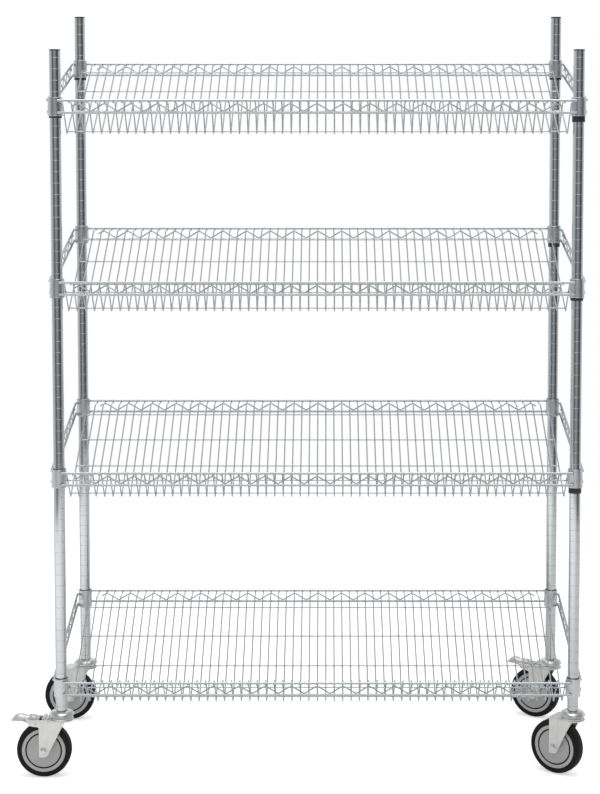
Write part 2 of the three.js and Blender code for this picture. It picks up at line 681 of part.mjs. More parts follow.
for (const corner of CORNERS) {
  const fixed = new THREE.Group();
  fixed.position.set(corner.x, corner.y, 0);
  addPiece(fixed, `${corner.name}_caster_stem`, stemGeometry(), ZINC);
  addPiece(fixed, `${corner.name}_swivel_cup`, swivelCupGeometry(), ZINC);

  const swivel = new THREE.Group();
  swivel.rotation.z = THREE.MathUtils.degToRad(corner.yawDegrees);
  fixed.add(swivel);
  addPiece(swivel, `${corner.name}_fork`, forkGeometry(corner.brake), ZINC);

  const axle = new THREE.Group();
  axle.position.set(-CASTER_TRAIL, 0, wheelRadius);
  swivel.add(axle);
  addPiece(axle, `${corner.name}_axle_bolt`, axleBoltGeometry(), ZINC);
  addPiece(axle, `${corner.name}_axle_nut`, axleNutGeometry(), ZINC);
  addPiece(axle, `${corner.name}_wheel_core`, wheelCoreGeometry(), GREY_PLASTIC);
  addPiece(axle, `${corner.name}_tyre`, tyreGeometry(), RUBBER);

  if (corner.brake) {
    const lever = new THREE.Group();
    lever.position.set(pivotX, 0, pivotZ);
    lever.rotation.y = PEDAL_LIFT;
    swivel.add(lever);
    addPiece(lever, `${corner.name}_brake_pedal`, pedalGeometry(), ZINC);
    addPiece(lever, `${corner.name}_brake_shoe`, shoeGeometry(), BLACK_PLASTIC);
  }
  rack.add(fixed);
}

export default rack;
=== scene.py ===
# %% [markdown]
# # A bakery bread rack in Blender
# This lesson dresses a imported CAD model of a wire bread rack: four grooved posts, four slanted wire
# shelves, and four swivel casters, two of them with foot brakes. The CAD model is the fixed frame.
# It says where every piece is and how it moves, and each step below puts a finer piece in a CAD
# piece's place. Sizes are written in millimetres, as on a workshop drawing, and become metres at
# the end.

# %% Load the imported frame
import math

import bmesh
import bpy
from mathutils import Matrix, Vector
from mathutils.geometry import tessellate_polygon


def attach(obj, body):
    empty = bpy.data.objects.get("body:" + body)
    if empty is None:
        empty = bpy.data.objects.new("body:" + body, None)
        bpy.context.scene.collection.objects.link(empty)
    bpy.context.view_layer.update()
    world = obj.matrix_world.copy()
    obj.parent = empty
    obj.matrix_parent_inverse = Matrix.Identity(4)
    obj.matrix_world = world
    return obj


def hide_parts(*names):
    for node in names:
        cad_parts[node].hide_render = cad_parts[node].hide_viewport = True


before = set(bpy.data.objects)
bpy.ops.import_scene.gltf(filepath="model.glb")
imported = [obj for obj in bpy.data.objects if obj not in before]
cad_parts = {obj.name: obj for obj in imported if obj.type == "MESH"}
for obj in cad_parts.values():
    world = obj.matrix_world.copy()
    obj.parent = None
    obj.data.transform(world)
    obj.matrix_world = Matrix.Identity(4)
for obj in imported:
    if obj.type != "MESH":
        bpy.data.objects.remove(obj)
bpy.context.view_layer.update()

# %% [markdown]
# ## A shape that is easy to add up
# Most pieces here are several simple solids put together. Blender's mesh data is awkward to join by
# hand, so a small class keeps points, faces and a finish number for each face. Two shapes can be
# added, and a shape can be moved by a matrix.

# %% Shapes and finished pieces
MM = 0.001
TINY = 1e-6  # below this, two lengths count as one
SHARP_EDGE, SHARP_WIRE, SHARP_FOLD = 35, 60, 16  # degrees, for turned forms, wire and folded sheet


class Shape:
    """Points in millimetres, faces, and the number of each face's finish."""

    def __init__(self, points=(), faces=(), finishes=None):
        self.points = [Vector(p) for p in points]
        self.faces = [tuple(f) for f in faces]
        self.finishes = list(finishes) if finishes else [0] * len(self.faces)

    def __add__(self, other):
        shift = len(self.points)
        faces = self.faces + [tuple(i + shift for i in face) for face in other.faces]
        return Shape(self.points + other.points, faces, self.finishes + other.finishes)

    def moved(self, place):
        return Shape([place @ p for p in self.points], self.faces, self.finishes)


def mesh_of(name, shape, scale=1.0):
    mesh = bpy.data.meshes.new(name)
    mesh.from_pydata([p * scale for p in shape.points], [], shape.faces)
    return mesh


def fit(name, shape, finishes, body, nodes, sharp=SHARP_EDGE):
    """Makes a piece, turns its faces outwards, and hangs it on its body in its CAD nodes' place."""
    mesh = mesh_of(name, shape, MM)
    for finish in finishes:
        mesh.materials.append(finish)
    mesh.polygons.foreach_set("material_index", shape.finishes)
    mesh.polygons.foreach_set("use_smooth", [True] * len(shape.faces))
    form = bmesh.new()
    form.from_mesh(mesh)
    bmesh.ops.remove_doubles(form, verts=form.verts, dist=TINY)
    bmesh.ops.recalc_face_normals(form, faces=form.faces)
    form.to_mesh(mesh)
    form.free()
    mesh.set_sharp_from_angle(angle=math.radians(sharp))
    piece = bpy.data.objects.new(name, mesh)
    bpy.context.collection.objects.link(piece)
    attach(piece, body)
    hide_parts(*nodes)


at = Matrix.Translation
print("shapes are ready")

# %% [markdown]
# ## Turned, cut and bent forms
# A lathe form is a profile of (radius, height) pairs swept round an axis. A plate is an outline
# with holes, given a thickness and an eased rim, because a real sheared edge always catches a line
# of light. A bmesh bevel could ease the rim too, but stacking a few inset outlines gives the same
# edge without depending on the mesh's topology.

# %% Lathe and corner rounding
FULL_TURN = 2 * math.pi
CORNER_SHARE = 0.49  # a rounded corner takes no more than this of a side


def softened(corners, steps=3):
    """A closed line through (x, y) or (x, y, radius) corners, rounded where a radius is given."""
    line = []
    for i, corner in enumerate(corners):
        here = Vector(corner[:2])
        if len(corner) < 3:
            line.append(tuple(here))
            continue
        before = Vector(corners[i - 1][:2]) - here
        after = Vector(corners[(i + 1) % len(corners)][:2]) - here
        reach = corner[2] / math.tan(before.angle(after) / 2)
        reach = min(reach, CORNER_SHARE * before.length, CORNER_SHARE * after.length)
        start, end = here + before.normalized() * reach, here + after.normalized() * reach
        for t in (k / steps for k in range(steps + 1)):
            line.append(tuple((1 - t) ** 2 * start + 2 * t * (1 - t) * here + t * t * end))
    return line


def turned(profile, steps=32, ring=False, bands=None, start=0.0, sweep=FULL_TURN):
    """A form turned about Z. A ring's profile closes on itself; part of a turn gets flat ends."""
    whole = sweep > FULL_TURN - TINY
    columns = steps if whole else steps + 1
    angles = [start + sweep * i / steps for i in range(columns)]
    points, rows = [], []
    for radius, height in profile:
        first = len(points)
        if radius < TINY:
            points.append((0, 0, height))
            rows.append([first] * columns)
        else:
            points += [(radius * math.cos(a), radius * math.sin(a), height) for a in angles]
            rows.append(list(range(first, first + columns)))
    pairs = list(zip(rows, rows[1:])) + ([(rows[-1], rows[0])] if ring else [])
    faces, finishes = [], []
    for band, (low, high) in enumerate(pairs):
        for i in range(steps):
            j = (i + 1) % columns
            corners = list(dict.fromkeys([low[i], low[j], high[j], high[i]]))
            if len(corners) > 2:
                faces.append(corners)
                finishes.append(bands[band] if bands else 0)
    if not whole:
        faces += [[row[0] for row in rows], [row[-1] for row in reversed(rows)]]
        finishes += [0, 0]
    return Shape(points, faces, finishes)


print("a test ring has", len(turned([(1, 0), (2, 0), (2, 1), (1, 1)], ring=True).faces), "faces")

# %% Plates with eased rims, and shells between two grids
RIM_EASE = ((1.0, 0.0), (0.3, 0.3), (0.0, 1.0))  # inset and depth of a rim, as shares of its ease
MITRE_LIMIT = 0.4  # keeps the points of narrow corners short
SMALL_STEPS = 20  # sides of holes, pins and rivets
SQUARE = ((0, 0), (0, 1), (1, 1), (1, 0))  # steps round one cell of a grid


def area(loop):
    return sum(a[0] * b[1] - b[0] * a[1] for a, b in zip(loop, loop[1:] + loop[:1])) / 2


def inset(loop, depth):
    """The loop moved to its left by depth, with mitred corners."""
    moved = []
    for i, here in enumerate(loop):
        here = Vector(here)
        into = (here - Vector(loop[i - 1])).normalized()
        out = (Vector(loop[(i + 1) % len(loop)]) - here).normalized()
        left = Vector((-into.y - out.y, into.x + out.x))
        moved.append(tuple(here + left * depth / max(1 + into.dot(out), MITRE_LIMIT)))
    return moved


def plate(outline, thickness, ease, holes=()):
    """A flat plate in X and Y that is thick along Z. Material lies to the left of every loop."""
    loops = [outline if area(outline) > 0 else outline[::-1]]
    loops += [hole if area(hole) < 0 else hole[::-1] for hole in holes]
    levels = [(i * ease, d * ease) for i, d in RIM_EASE]
    levels += [(i, thickness - d) for i, d in reversed(levels)]
    points, rows = [], []
    for depth, height in levels:
        rows.append([])
        for loop in loops:
            rows[-1].append(list(range(len(points), len(points) + len(loop))))
            points += [(x, y, height) for x, y in inset(loop, depth)]
    faces = []
    for low, high in zip(rows, rows[1:]):
        for a, b in zip(low, high):
            faces += [(a[i - 1], a[i], b[i], b[i - 1]) for i in range(len(a))]
    for row in (rows[0], rows[-1]):
        flat = [i for loop in row for i in loop]
        cut = tessellate_polygon([[Vector(points[i]) for i in loop] for loop in row])
        faces += [tuple(flat[i] for i in triangle) for triangle in cut]
    return Shape(points, faces)


def arc(radius, angles, x=0.0, y=0.0):
    return [(x + radius * math.cos(a), y + radius * math.sin(a)) for a in angles]


def circle(x, y, radius, steps=SMALL_STEPS):
    return arc(radius, (FULL_TURN * i / steps for i in range(steps)), x, y)


def shell(upper, lower):
    """A closed shell between two grids of points that have the same rows and columns."""
    rows, columns = len(upper), len(upper[0])
    points = [p for grid in (upper, lower) for row in grid for p in row]

    def index(side, r, c):
        return side * rows * columns + r * columns + c

    faces = []
    for side in (0, 1):
        for r in range(rows - 1):
            for c in range(columns - 1):
                faces.append([index(side, r + i, c + j) for i, j in SQUARE])
    rim = [(0, c) for c in range(columns)]
    rim += [(r, columns - 1) for r in range(1, rows)]
    rim += [(rows - 1, c) for c in reversed(range(columns - 1))]
    rim += [(r, 0) for r in reversed(range(1, rows - 1))]
    for (r, c), (s, d) in zip(rim, rim[1:] + rim[:1]):
        faces.append((index(0, r, c), index(0, s, d), index(1, s, d), index(1, r, c)))
    return Shape(points, faces)


print("a test plate has", len(plate(circle(0, 0, 9), 2, 0.3, [circle(0, 0, 3)]).faces), "faces")

# %% [markdown]
# ## Shader maths as plain sums
# A finish is a small calculation: some noise, a mask or two, and a blend between two colours.
# Wiring that with node after node hides the sum. The class below wraps a socket, so that
# `0.1 + 0.2 * noise` adds its own Math nodes, and one method makes any other node.

# %% A socket that can be added and multiplied
def feed(tree, node, inputs):
    """Gives a node its inputs: a socket or a tone is linked, and anything else is a value."""
    for key, value in inputs.items():
        value = getattr(value, "socket", value)
        if isinstance(value, bpy.types.NodeSocket):
            tree.links.new(value, node.inputs[key])
        else:
            node.inputs[key].default_value = value


class Tone:
    """A node socket that takes part in sums and adds the nodes that they need."""

    def __init__(self, tree, socket=None):
        self.tree, self.socket = tree, socket

    def node(self, kind, settings=None, inputs=None, output=0):
        made = self.tree.nodes.new("ShaderNode" + kind)
        for key, value in (settings or {}).items():
            if key == "stops":
                stops = made.color_ramp.elements
                stops.remove(stops[1])
                stops[0].position, stops[0].color = value[0]
                for position, colour in value[1:]:
                    stops.new(position).color = colour
            else:
                setattr(made, key, value)
        feed(self.tree, made, inputs or {})
        return Tone(self.tree, made.outputs[output])

    def math(self, operation, first, second=0.0):
        return self.node("Math", {"operation": operation}, {0: first, 1: second})

    def __add__(self, other):
        return self.math("ADD", self, other)

    def __sub__(self, other):
        return self.math("SUBTRACT", self, other)

    def __rsub__(self, other):
        return self.math("SUBTRACT", other, self)

    def __mul__(self, other):
        return self.math("MULTIPLY", self, other)

    def __truediv__(self, other):
        return self.math("DIVIDE", self, other)

    __radd__, __rmul__ = __add__, __mul__


def noise(tone, scale, stretch=(1, 1, 1), detail=2.0):
    """Soft noise from 0 to 1 in the object's own coordinates, with scale in cells per metre."""
    where = tone.node("TexCoord", output="Object")
    placed = tone.node("Mapping", inputs={"Vector": where, "Scale": stretch})
    return tone.node("TexNoise", inputs={"Vector": placed, "Scale": scale, "Detail": detail})


def blend(tone, share, first, second):
    """A mix of two colours, each a tone or plain red, green and blue."""
    first, second = (c if isinstance(c, Tone) else (*c, 1) for c in (first, second))
    return tone.node("Mix", {"data_type": "RGBA"}, {0: share, 6: first, 7: second}, 2)


def raised(tone, height, distance, strength=0.5):
    return tone.node("Bump", inputs={"Height": height, "Distance": distance, "Strength": strength})


def band(tone, value, low, high):
    """0 below low, 1 above high, and smooth between."""
    settings = {"interpolation_type": "SMOOTHSTEP", "clamp": True}
    return tone.node("MapRange", settings, {"Value": value, "From Min": low, "From Max": high})


def finish(name, mix):
    """A material from a function that returns the Principled shader's sockets and their values."""
    material = bpy.data.materials.new(name)
    material.use_nodes = True
    tree = material.node_tree
    feed(tree, tree.nodes["Principled BSDF"], mix(Tone(tree)))
    return material


print("shader sums are ready")

# %% [markdown]
# ## The finishes
# Bright chrome on the posts is nearly a mirror, with faint polishing lines along the tube. Painted
# shade darkens the ring grooves, which are also a little rougher. The shelf wire is plated too, but
# drawn wire is duller and bluer, and the collars, cut from rougher tube, ripple the light. Zinc on
# the casters is a warm pale grey with soft cloudy patches. The wheel is moulded grey plastic in a
# black rubber tyre, and the sleeves and caps are black plastic.

# %% Metal finishes
GROOVE_PITCH = 25.4
GROOVE_RISE = 10.2  # from the start of a groove's module to the groove
GROOVE_SHADE_BAND = (0.01, 0.025)  # where a groove's painted shade fades, in groove pitches
POST_FOOT = 154.0


def surface(tone, colours, share, metallic, roughness, relief, depth):
    """The sockets that every finish sets: two blended colours, the metal, and a fine relief."""
    return {
        "Base Color": blend(tone, share, *colours),
        "Metallic": metallic,
        "Roughness": roughness,
        "Normal": raised(tone, relief, depth),
    }


def chrome_post_mix(tone):
    where = tone.node("TexCoord", output="Object")
    height = tone.node("SeparateXYZ", inputs={0: where}, output=2)
    module = (height - POST_FOOT * MM) / (GROOVE_PITCH * MM)
    from_groove = tone.math("ABSOLUTE", tone.math("FRACT", module) - GROOVE_RISE / GROOVE_PITCH)
    # painted shade: the base colour darkens in each ring groove, which is also a little rougher
    groove_shade = 1 - band(tone, from_groove, *GROOVE_SHADE_BAND)
    polish = noise(tone, 900, (1, 1, 0.01))
    clouds = noise(tone, 7, detail=3)
    colours = (0.60, 0.615, 0.625), (0.34, 0.35, 0.355)
    # the grooves' painted shade and random clouds both darken the base colour
    shade_and_clouds = groove_shade * 0.08 + clouds * 0.2
    roughness = 0.06 + 0.05 * polish + 0.05 * clouds + 0.06 * groove_shade
    return surface(tone, colours, shade_and_clouds, 1.0, roughness, polish, 0.00002)


def chrome_wire_mix(tone):
    drawn = noise(tone, 420)
    clouds = noise(tone, 18, detail=3)
    colours = (0.58, 0.605, 0.62), (0.48, 0.50, 0.515)
    roughness = 0.16 + 0.14 * drawn * clouds + 0.06 * drawn
    return surface(tone, colours, clouds, 1.0, roughness, drawn, 0.00001)


def collar_chrome_mix(tone):
    ripple = noise(tone, 210, (1, 1, 0.5))
    clouds = noise(tone, 70, detail=4)
    colours = (0.72, 0.745, 0.76), (0.54, 0.56, 0.575)
    return surface(tone, colours, clouds, 1.0, 0.26 + 0.16 * clouds, ripple, 0.0004)


def zinc_plate_mix(tone):
    clouds = noise(tone, 45, detail=4)
    grain = noise(tone, 1400)
    scuffs = band(tone, noise(tone, 130, (1, 1, 0.2)), 0.55, 0.75)
    colours = (0.82, 0.82, 0.793), (0.725, 0.72, 0.693)
    roughness = 0.34 + 0.16 * clouds + 0.08 * scuffs
    return surface(tone, colours, clouds, 0.85, roughness, grain + clouds, 0.00006)


def bright_zinc_mix(tone):
    clouds = noise(tone, 60, detail=3)
    turning = noise(tone, 900, (1, 1, 6))
    colours = (0.80, 0.805, 0.81), (0.68, 0.68, 0.685)
    roughness = 0.22 + 0.12 * clouds + 0.05 * turning
    return surface(tone, colours, clouds, 1.0, roughness, turning, 0.00003)


chrome_post = finish("chrome_post", chrome_post_mix)
chrome_wire = finish("chrome_wire", chrome_wire_mix)
collar_chrome = finish("collar_chrome", collar_chrome_mix)
zinc_plate = finish("zinc_plate", zinc_plate_mix)
bright_zinc = finish("bright_zinc", bright_zinc_mix)
print("metal finishes are ready")

# %% Plastics and rubber
def moulded(dark, light, roughness, grain_scale=1600, depth=0.00008, shine=0.5):
    """A moulded finish: fine grain, faint flow clouds, and a roughness that follows both."""

    def mix(tone):
        grain = noise(tone, grain_scale)
        clouds = noise(tone, 35, detail=3)
        share = 0.7 * clouds + 0.3 * grain
        rough = roughness - 0.08 + 0.16 * clouds + 0.05 * grain
        sockets = surface(tone, (dark, light), share, 0.0, rough, grain, depth)
        return {**sockets, "Specular IOR Level": shine}

    return mix


black_plastic = finish("black_plastic", moulded((0.006, 0.006, 0.007), (0.018, 0.018, 0.019), 0.42))
disc_plastic = finish("grey_disc_plastic", moulded((0.42, 0.415, 0.41), (0.50, 0.495, 0.488), 0.5))
rim_plastic = finish("grey_rim_plastic", moulded((0.46, 0.455, 0.475), (0.54, 0.535, 0.555), 0.42))
groove_black = finish("groove_black", moulded((0.004, 0.004, 0.004), (0.01, 0.01, 0.01), 0.7))
rubber_mix = moulded((0.004, 0.004, 0.004), (0.012, 0.0115, 0.011), 0.62, 700, 0.0002, shine=0.25)
black_rubber = finish("black_rubber", rubber_mix)
print("plastics and rubber are ready")

# %% [markdown]
# ## Geometry Nodes for what repeats
# The rack is mostly wire: 236 deck wires, rails, zigzags and stringers. They differ only in their
# line and thickness, so one tree makes them all. It takes a line as loose edges, rounds its bends,
# sweeps a circle along it, and lays copies side by side. A second tree stacks groove modules into a
# post, and a third sets weld beads on points.

# %% Helpers for node trees
MERGE = 0.001  # millimetres: points of neighbouring copies this close become one


def new_tree(name, **inputs):
    """An empty geometry tree with named inputs of each kind, and its input sockets by name."""
    tree = bpy.data.node_groups.new(name, "GeometryNodeTree")
    tree.interface.new_socket("Geometry", in_out="INPUT", socket_type="NodeSocketGeometry")
    for kind, labels in {**inputs, "Material": ["Material"]}.items():
        for label in labels:
            tree.interface.new_socket(label, in_out="INPUT", socket_type="NodeSocket" + kind)
    tree.interface.new_socket("Geometry", in_out="OUTPUT", socket_type="NodeSocketGeometry")
    sockets = tree.nodes.new("NodeGroupInput").outputs
    return tree, {socket.name: socket for socket in sockets if socket.name}


def step(tree, kind, inputs, **settings):
    node = tree.nodes.new(kind if kind.startswith("Shader") else "GeometryNode" + kind)
    for key, value in settings.items():
        setattr(node, key, value)
    feed(tree, node, inputs)
    return node.outputs[0]


def close_tree(tree, instances, given):
    """Ends a tree: instances become real faces, merged where they meet, in the given material."""
    real = step(tree, "RealizeInstances", {"Geometry": instances})
    real = step(tree, "MergeByDistance", {"Geometry": real, "Distance": MERGE})
    dressed = step(tree, "SetMaterial", {"Geometry": real, "Material": given["Material"]})
    tree.links.new(dressed, tree.nodes.new("NodeGroupOutput").inputs[0])


def grown(tree, seed_mesh, **values):
    """Runs a tree on a mesh and returns the result as a shape. An input's spaces are written _."""
    seed = bpy.data.objects.new(tree.name, seed_mesh)
    bpy.context.collection.objects.link(seed)
    maker = seed.modifiers.new(tree.name, "NODES")
    maker.node_group = tree
    for item in tree.interface.items_tree:
        key = item.name.replace(" ", "_")
        if item.in_out == "INPUT" and key in values:
            maker[item.identifier] = values[key]
    depsgraph = bpy.context.evaluated_depsgraph_get()
    made = bpy.data.meshes.new_from_object(seed.evaluated_get(depsgraph))
    seed.modifiers.remove(maker)
    bpy.data.objects.remove(seed)
    return Shape([v.co for v in made.vertices], [p.vertices for p in made.polygons])


print("tree helpers are ready")

# %% The wire tree
wire_tree, given = new_tree(
    "Bent wires",
    Float=["Wire radius", "Bend radius", "Pitch"],
    Int=["Bend steps", "Sides", "Copies"],
)
line = step(wire_tree, "MeshToCurve", {"Mesh": given["Geometry"]})
bends = {"Curve": line, "Count": given["Bend steps"], "Radius": given["Bend radius"]}
line = step(wire_tree, "FilletCurve", {**bends, "Limit Radius": True}, mode="POLY")
circle_sizes = {"Resolution": given["Sides"], "Radius": given["Wire radius"]}
section = step(wire_tree, "CurvePrimitiveCircle", circle_sizes)
sweep = {"Curve": line, "Profile Curve": section, "Fill Caps": True}
wire = step(wire_tree, "CurveToMesh", sweep)
stride = step(wire_tree, "ShaderNodeCombineXYZ", {"X": given["Pitch"]})
row = step(wire_tree, "MeshLine", {"Count": given["Copies"], "Offset": stride})
copies = step(wire_tree, "InstanceOnPoints", {"Points": row, "Instance": wire})
close_tree(wire_tree, copies, given)
print("tree:", wire_tree.name, "with", len(wire_tree.nodes), "nodes")

# %% The stacking tree and the bead tree
stack_tree, given = new_tree("Stacked modules", Int=["Count"], Float=["Height"])
stride = step(stack_tree, "ShaderNodeCombineXYZ", {"Z": given["Height"]})
row = step(stack_tree, "MeshLine", {"Count": given["Count"], "Offset": stride})
copies = step(stack_tree, "InstanceOnPoints", {"Points": row, "Instance": given["Geometry"]})
close_tree(stack_tree, copies, given)

bead_tree, given = new_tree("Weld beads", Float=["Bead radius"], Vector=["Stretch"])
bead = step(bead_tree, "MeshIcoSphere", {"Radius": given["Bead radius"], "Subdivisions": 2})
placed = {"Points": given["Geometry"], "Instance": bead, "Scale": given["Stretch"]}
close_tree(bead_tree, step(bead_tree, "InstanceOnPoints", placed), given)
print("trees:", stack_tree.name, "/", bead_tree.name)

# %% [markdown]
# ## Where things stand
# Four corners carry the posts and casters. The rear posts are four grooves taller, and the rear
# collars of each shelf sit four grooves above the front ones, which tips the bread towards the
# front. The yaw is how far each caster is turned at rest in the photograph.

# %% The corners and the shelf heights
HALF_X, HALF_Y = 585.0, 204.0
SHELF_RISE = 4 * GROOVE_PITCH
POST_PAIRS = {"front": (1498.4, 59), "rear": (1600.0, 63)}  # a post's length and groove modules
CORNERS = {
    "front_left": {"x": -HALF_X, "y": -HALF_Y, "yaw": 0, "brake": True},
    "front_right": {"x": HALF_X, "y": -HALF_Y, "yaw": -36, "brake": False},
    "rear_left": {"x": -HALF_X, "y": HALF_Y, "yaw": 0, "brake": False},
    "rear_right": {"x": HALF_X, "y": HALF_Y, "yaw": -30, "brake": True},
}
SHELVES = {  # height of the front collars, and how far each corner's sleeve hangs out below
    "top_shelf": (1527.8, (4, 13, 6, 5)),
    "upper_shelf": (1121.4, (1, 7, 1, 10)),
    "lower_shelf": (689.6, (-1, 13, 1, -1)),
    "bottom_shelf": (207.0, (-1.5, -1.5, -1.5, -1.5)),
}
print(len(CORNERS), "corners and", len(SHELVES), "shelves")

# %% [markdown]
# ## Posts
# A post is a one-inch chromed tube with a ring groove rolled in at every inch, where a shelf's
# sleeve locks. Modelling the whole tube as one lathe would work, but the groove is a pattern: one
# inch of tube is turned once, and the stacking tree repeats it. The bore and the end rings close
# the tube.

# %% Posts and their caps
POST_RADIUS, POST_BORE = 12.7, 11.5
POST_SIDES = 28
GROOVE_PROFILE = ((0.36, 0.0), (0.22, 0.15), (0.0, 0.22), (-0.22, 0.15), (-0.36, 0.0))


def post_shape(length, modules):
    pitch = length / modules
    groove = [(POST_RADIUS - depth, GROOVE_RISE - way) for way, depth in GROOVE_PROFILE]
    module = turned([(POST_RADIUS, 0), *groove, (POST_RADIUS, pitch)], POST_SIDES)
    seed = mesh_of("groove_module", module)
    tube = grown(stack_tree, seed, Count=modules, Height=pitch, Material=chrome_post)
    ends = [(POST_RADIUS, 0), (POST_BORE, 0), (POST_BORE, length), (POST_RADIUS, length)]
    return tube + turned(ends, POST_SIDES)


plug = [(0, -14), (10.4, -14), (11.2, -12.5), (11.2, 0.3)]
head = [(12.4, 0.3), (12.7, 0.7), (12.7, 1.7), (12.3, 2.5), (11.5, 2.9), (10.2, 3.0)]
cap = turned([*plug, *head, (8.6, 3.0), (7.9, 2.7), (0, 2.5)], POST_SIDES)
posts = {pair: post_shape(*sizes) for pair, sizes in POST_PAIRS.items()}
for name, corner in CORNERS.items():
    pair = name.split("_")[0]
    foot = at((corner["x"], corner["y"], POST_FOOT))
    top = foot @ at((0, 0, POST_PAIRS[pair][0]))
    post, stopper = posts[pair].moved(foot), cap.moved(top)
    fit(f"{name}_grooved_post", post, [chrome_post], "rack", [f"{name}_post"])
    fit(f"{name}_cap", stopper, [black_plastic], "rack", [f"{name}_post_cap"])
print("posts:", len(posts["front"].faces), "and", len(posts["rear"].faces), "faces")

# %% [markdown]
# ## Shelves
# Each shelf is one weldment. Four collars hold the corners; between them run trusses of two rails
# with a zigzag wire nested in between. The deck is 59 wires bent to a trough: from under the front
# rail down the lip, sharply round the valley, up the slope, and level again to under the rear rail.
# One stringer lies under the lip and four under the slope. All of it is wire along a line, so the
# wire tree makes it, and beads mark the welds at the collars. A shelf is drawn with y measured back
# from the front posts, and z from the middle of the front collars.

# %% Lines for the wires
RAIL_RADIUS, RAIL_RISE = 2.75, 13.5
RAIL_OUT, RAIL_END = 18.24, 7.26  # rail to post axis, across and along
WIRE_RADIUS, STRINGER_RADIUS = 1.6, 1.65
BEND_STEPS = 3
WELD_SINK = 0.2  # how far welded wires sink into each other
DECK_WIRES, DECK_INSET = 59, 13.7  # the inset is from a post's axis to the outermost wire
DECK_PITCH = 2 * (HALF_X - DECK_INSET) / (DECK_WIRES - 1)
PEAK_PITCH = 3 * DECK_PITCH
UNDER_RAIL = RAIL_RISE - RAIL_RADIUS - WIRE_RADIUS + WELD_SINK  # a wire welded under a top rail
WIRE_END = RAIL_OUT + 2.0  # post axis to a deck wire's end
LIP = (18.0, UNDER_RAIL)  # this and the next two are a deck wire's bends, as (y, z)
VALLEY = (82.0, -60.0)
REAR = (2 * HALF_Y - 27, SHELF_RISE + UNDER_RAIL)
LIP_ANGLE = math.atan2(VALLEY[1] - LIP[1], VALLEY[0] - LIP[0])
SLOPE_ANGLE = math.atan2(REAR[1] - VALLEY[1], REAR[0] - VALLEY[0])


def edges(*lines):
    """Loose edges along one or more lines of points, for the wire tree."""
    points, pairs = [], []
    for line in lines:
        pairs += [(len(points) + i, len(points) + i + 1) for i in range(len(line) - 1)]
        points += line
    mesh = bpy.data.meshes.new("wire_line")
    mesh.from_pydata([Vector(p) for p in points], pairs, [])
    return mesh


def wires(lines, radius, bend=0.0, sides=8, copies=1, pitch=0.0):
    return grown(
        wire_tree,
        edges(*lines),
        Wire_radius=radius,
        Bend_radius=bend,
        Bend_steps=BEND_STEPS,
        Sides=sides,
        Copies=copies,
        Pitch=pitch,
        Material=chrome_wire,
    )


print(f"deck pitch {DECK_PITCH:.2f} mm, slope {math.degrees(SLOPE_ANGLE):.1f} degrees")

# %% Deck wires and stringers
DECK_BEND = 5.0
EDGE_WIRE_END = 355.0  # the outermost wires stop short of the rear posts
FIRST_STRINGER, LAST_STRINGER, SLOPE_STRINGERS = 97.0, 351.0, 4
STRINGER_PAST = 2.7  # how far a stringer runs past the outermost wires
STRINGER_STEP = (LAST_STRINGER - FIRST_STRINGER) / (SLOPE_STRINGERS - 1)
STRINGERS = [(36.0, LIP_ANGLE)]  # y, and the lean of the deck there
STRINGERS += [(FIRST_STRINGER + STRINGER_STEP * i, SLOPE_ANGLE) for i in range(SLOPE_STRINGERS)]


def on_deck(y, angle):
    """A point of the deck wires' line on the lip or the slope, which meet in the valley."""
    return (y, VALLEY[1] + (y - VALLEY[0]) * math.tan(angle))


first = -(DECK_WIRES - 1) / 2 * DECK_PITCH
whole = [(-WIRE_END, LIP[1]), LIP, VALLEY, REAR, (2 * HALF_Y + WIRE_END, REAR[1])]
edge = [LIP, VALLEY, on_deck(EDGE_WIRE_END, SLOPE_ANGLE)]
lines = [[(first + DECK_PITCH, y, z) for y, z in whole]]
inner = wires(lines, WIRE_RADIUS, DECK_BEND, copies=DECK_WIRES - 2, pitch=DECK_PITCH)
outer = wires([[(x, y, z) for y, z in edge] for x in (first, -first)], WIRE_RADIUS, DECK_BEND)
below = WIRE_RADIUS + STRINGER_RADIUS - WELD_SINK
reach = -first + STRINGER_PAST
lines = []
for y, angle in STRINGERS:
    y, z = on_deck(y, angle)
    place = (y + below * math.sin(angle), z - below * math.cos(angle))
    lines.append([(-reach, *place), (reach, *place)])
deck = inner + outer + wires(lines, STRINGER_RADIUS)
print("deck:", len(deck.faces), "faces")

# %% Trusses
ZIGZAG_TAIL, ZIGZAG_BEND = 14.0, 8.0
LONG_PEAKS, SIDE_PEAKS = 19, 7
BELOW_DECK = UNDER_RAIL - 2 * WIRE_RADIUS + WELD_SINK  # a wire welded under the deck wires' ends


def truss_shape(span, peaks, high):
    """A truss along X about the origin. The zigzag's peaks are at a given height."""
    end = span / 2 - RAIL_END
    lines = [[(-end, 0, z), (end, 0, z)] for z in (RAIL_RISE, -RAIL_RISE)]
    rails = wires(lines, RAIL_RADIUS, sides=12)
    first = -(peaks - 1) * PEAK_PITCH / 2
    steep = math.atan2(high + UNDER_RAIL, PEAK_PITCH / 2)
    past = ZIGZAG_BEND * (1 / math.cos(steep) - 1)  # a bend takes this much off a sharp corner
    line = [(first - ZIGZAG_TAIL, 0, 0)]
    for i in range(2 * peaks - 1):
        line.append((first + i * PEAK_PITCH / 2, 0, -UNDER_RAIL - past if i % 2 else high + past))
    line.append((-first + ZIGZAG_TAIL, 0, 0))
    return rails + wires([line], WIRE_RADIUS, bend=ZIGZAG_BEND)


def side_place(x):
    """The place of a side truss, which climbs from the front collars to the rear ones."""
    along = Vector((0, 2 * HALF_Y, SHELF_RISE)).normalized()
    across = Vector((1, 0, 0))
    up = across.cross(along)
    turn = Matrix((along, -across, up)).transposed().to_4x4()
    return at((x, HALF_Y, SHELF_RISE / 2)) @ turn


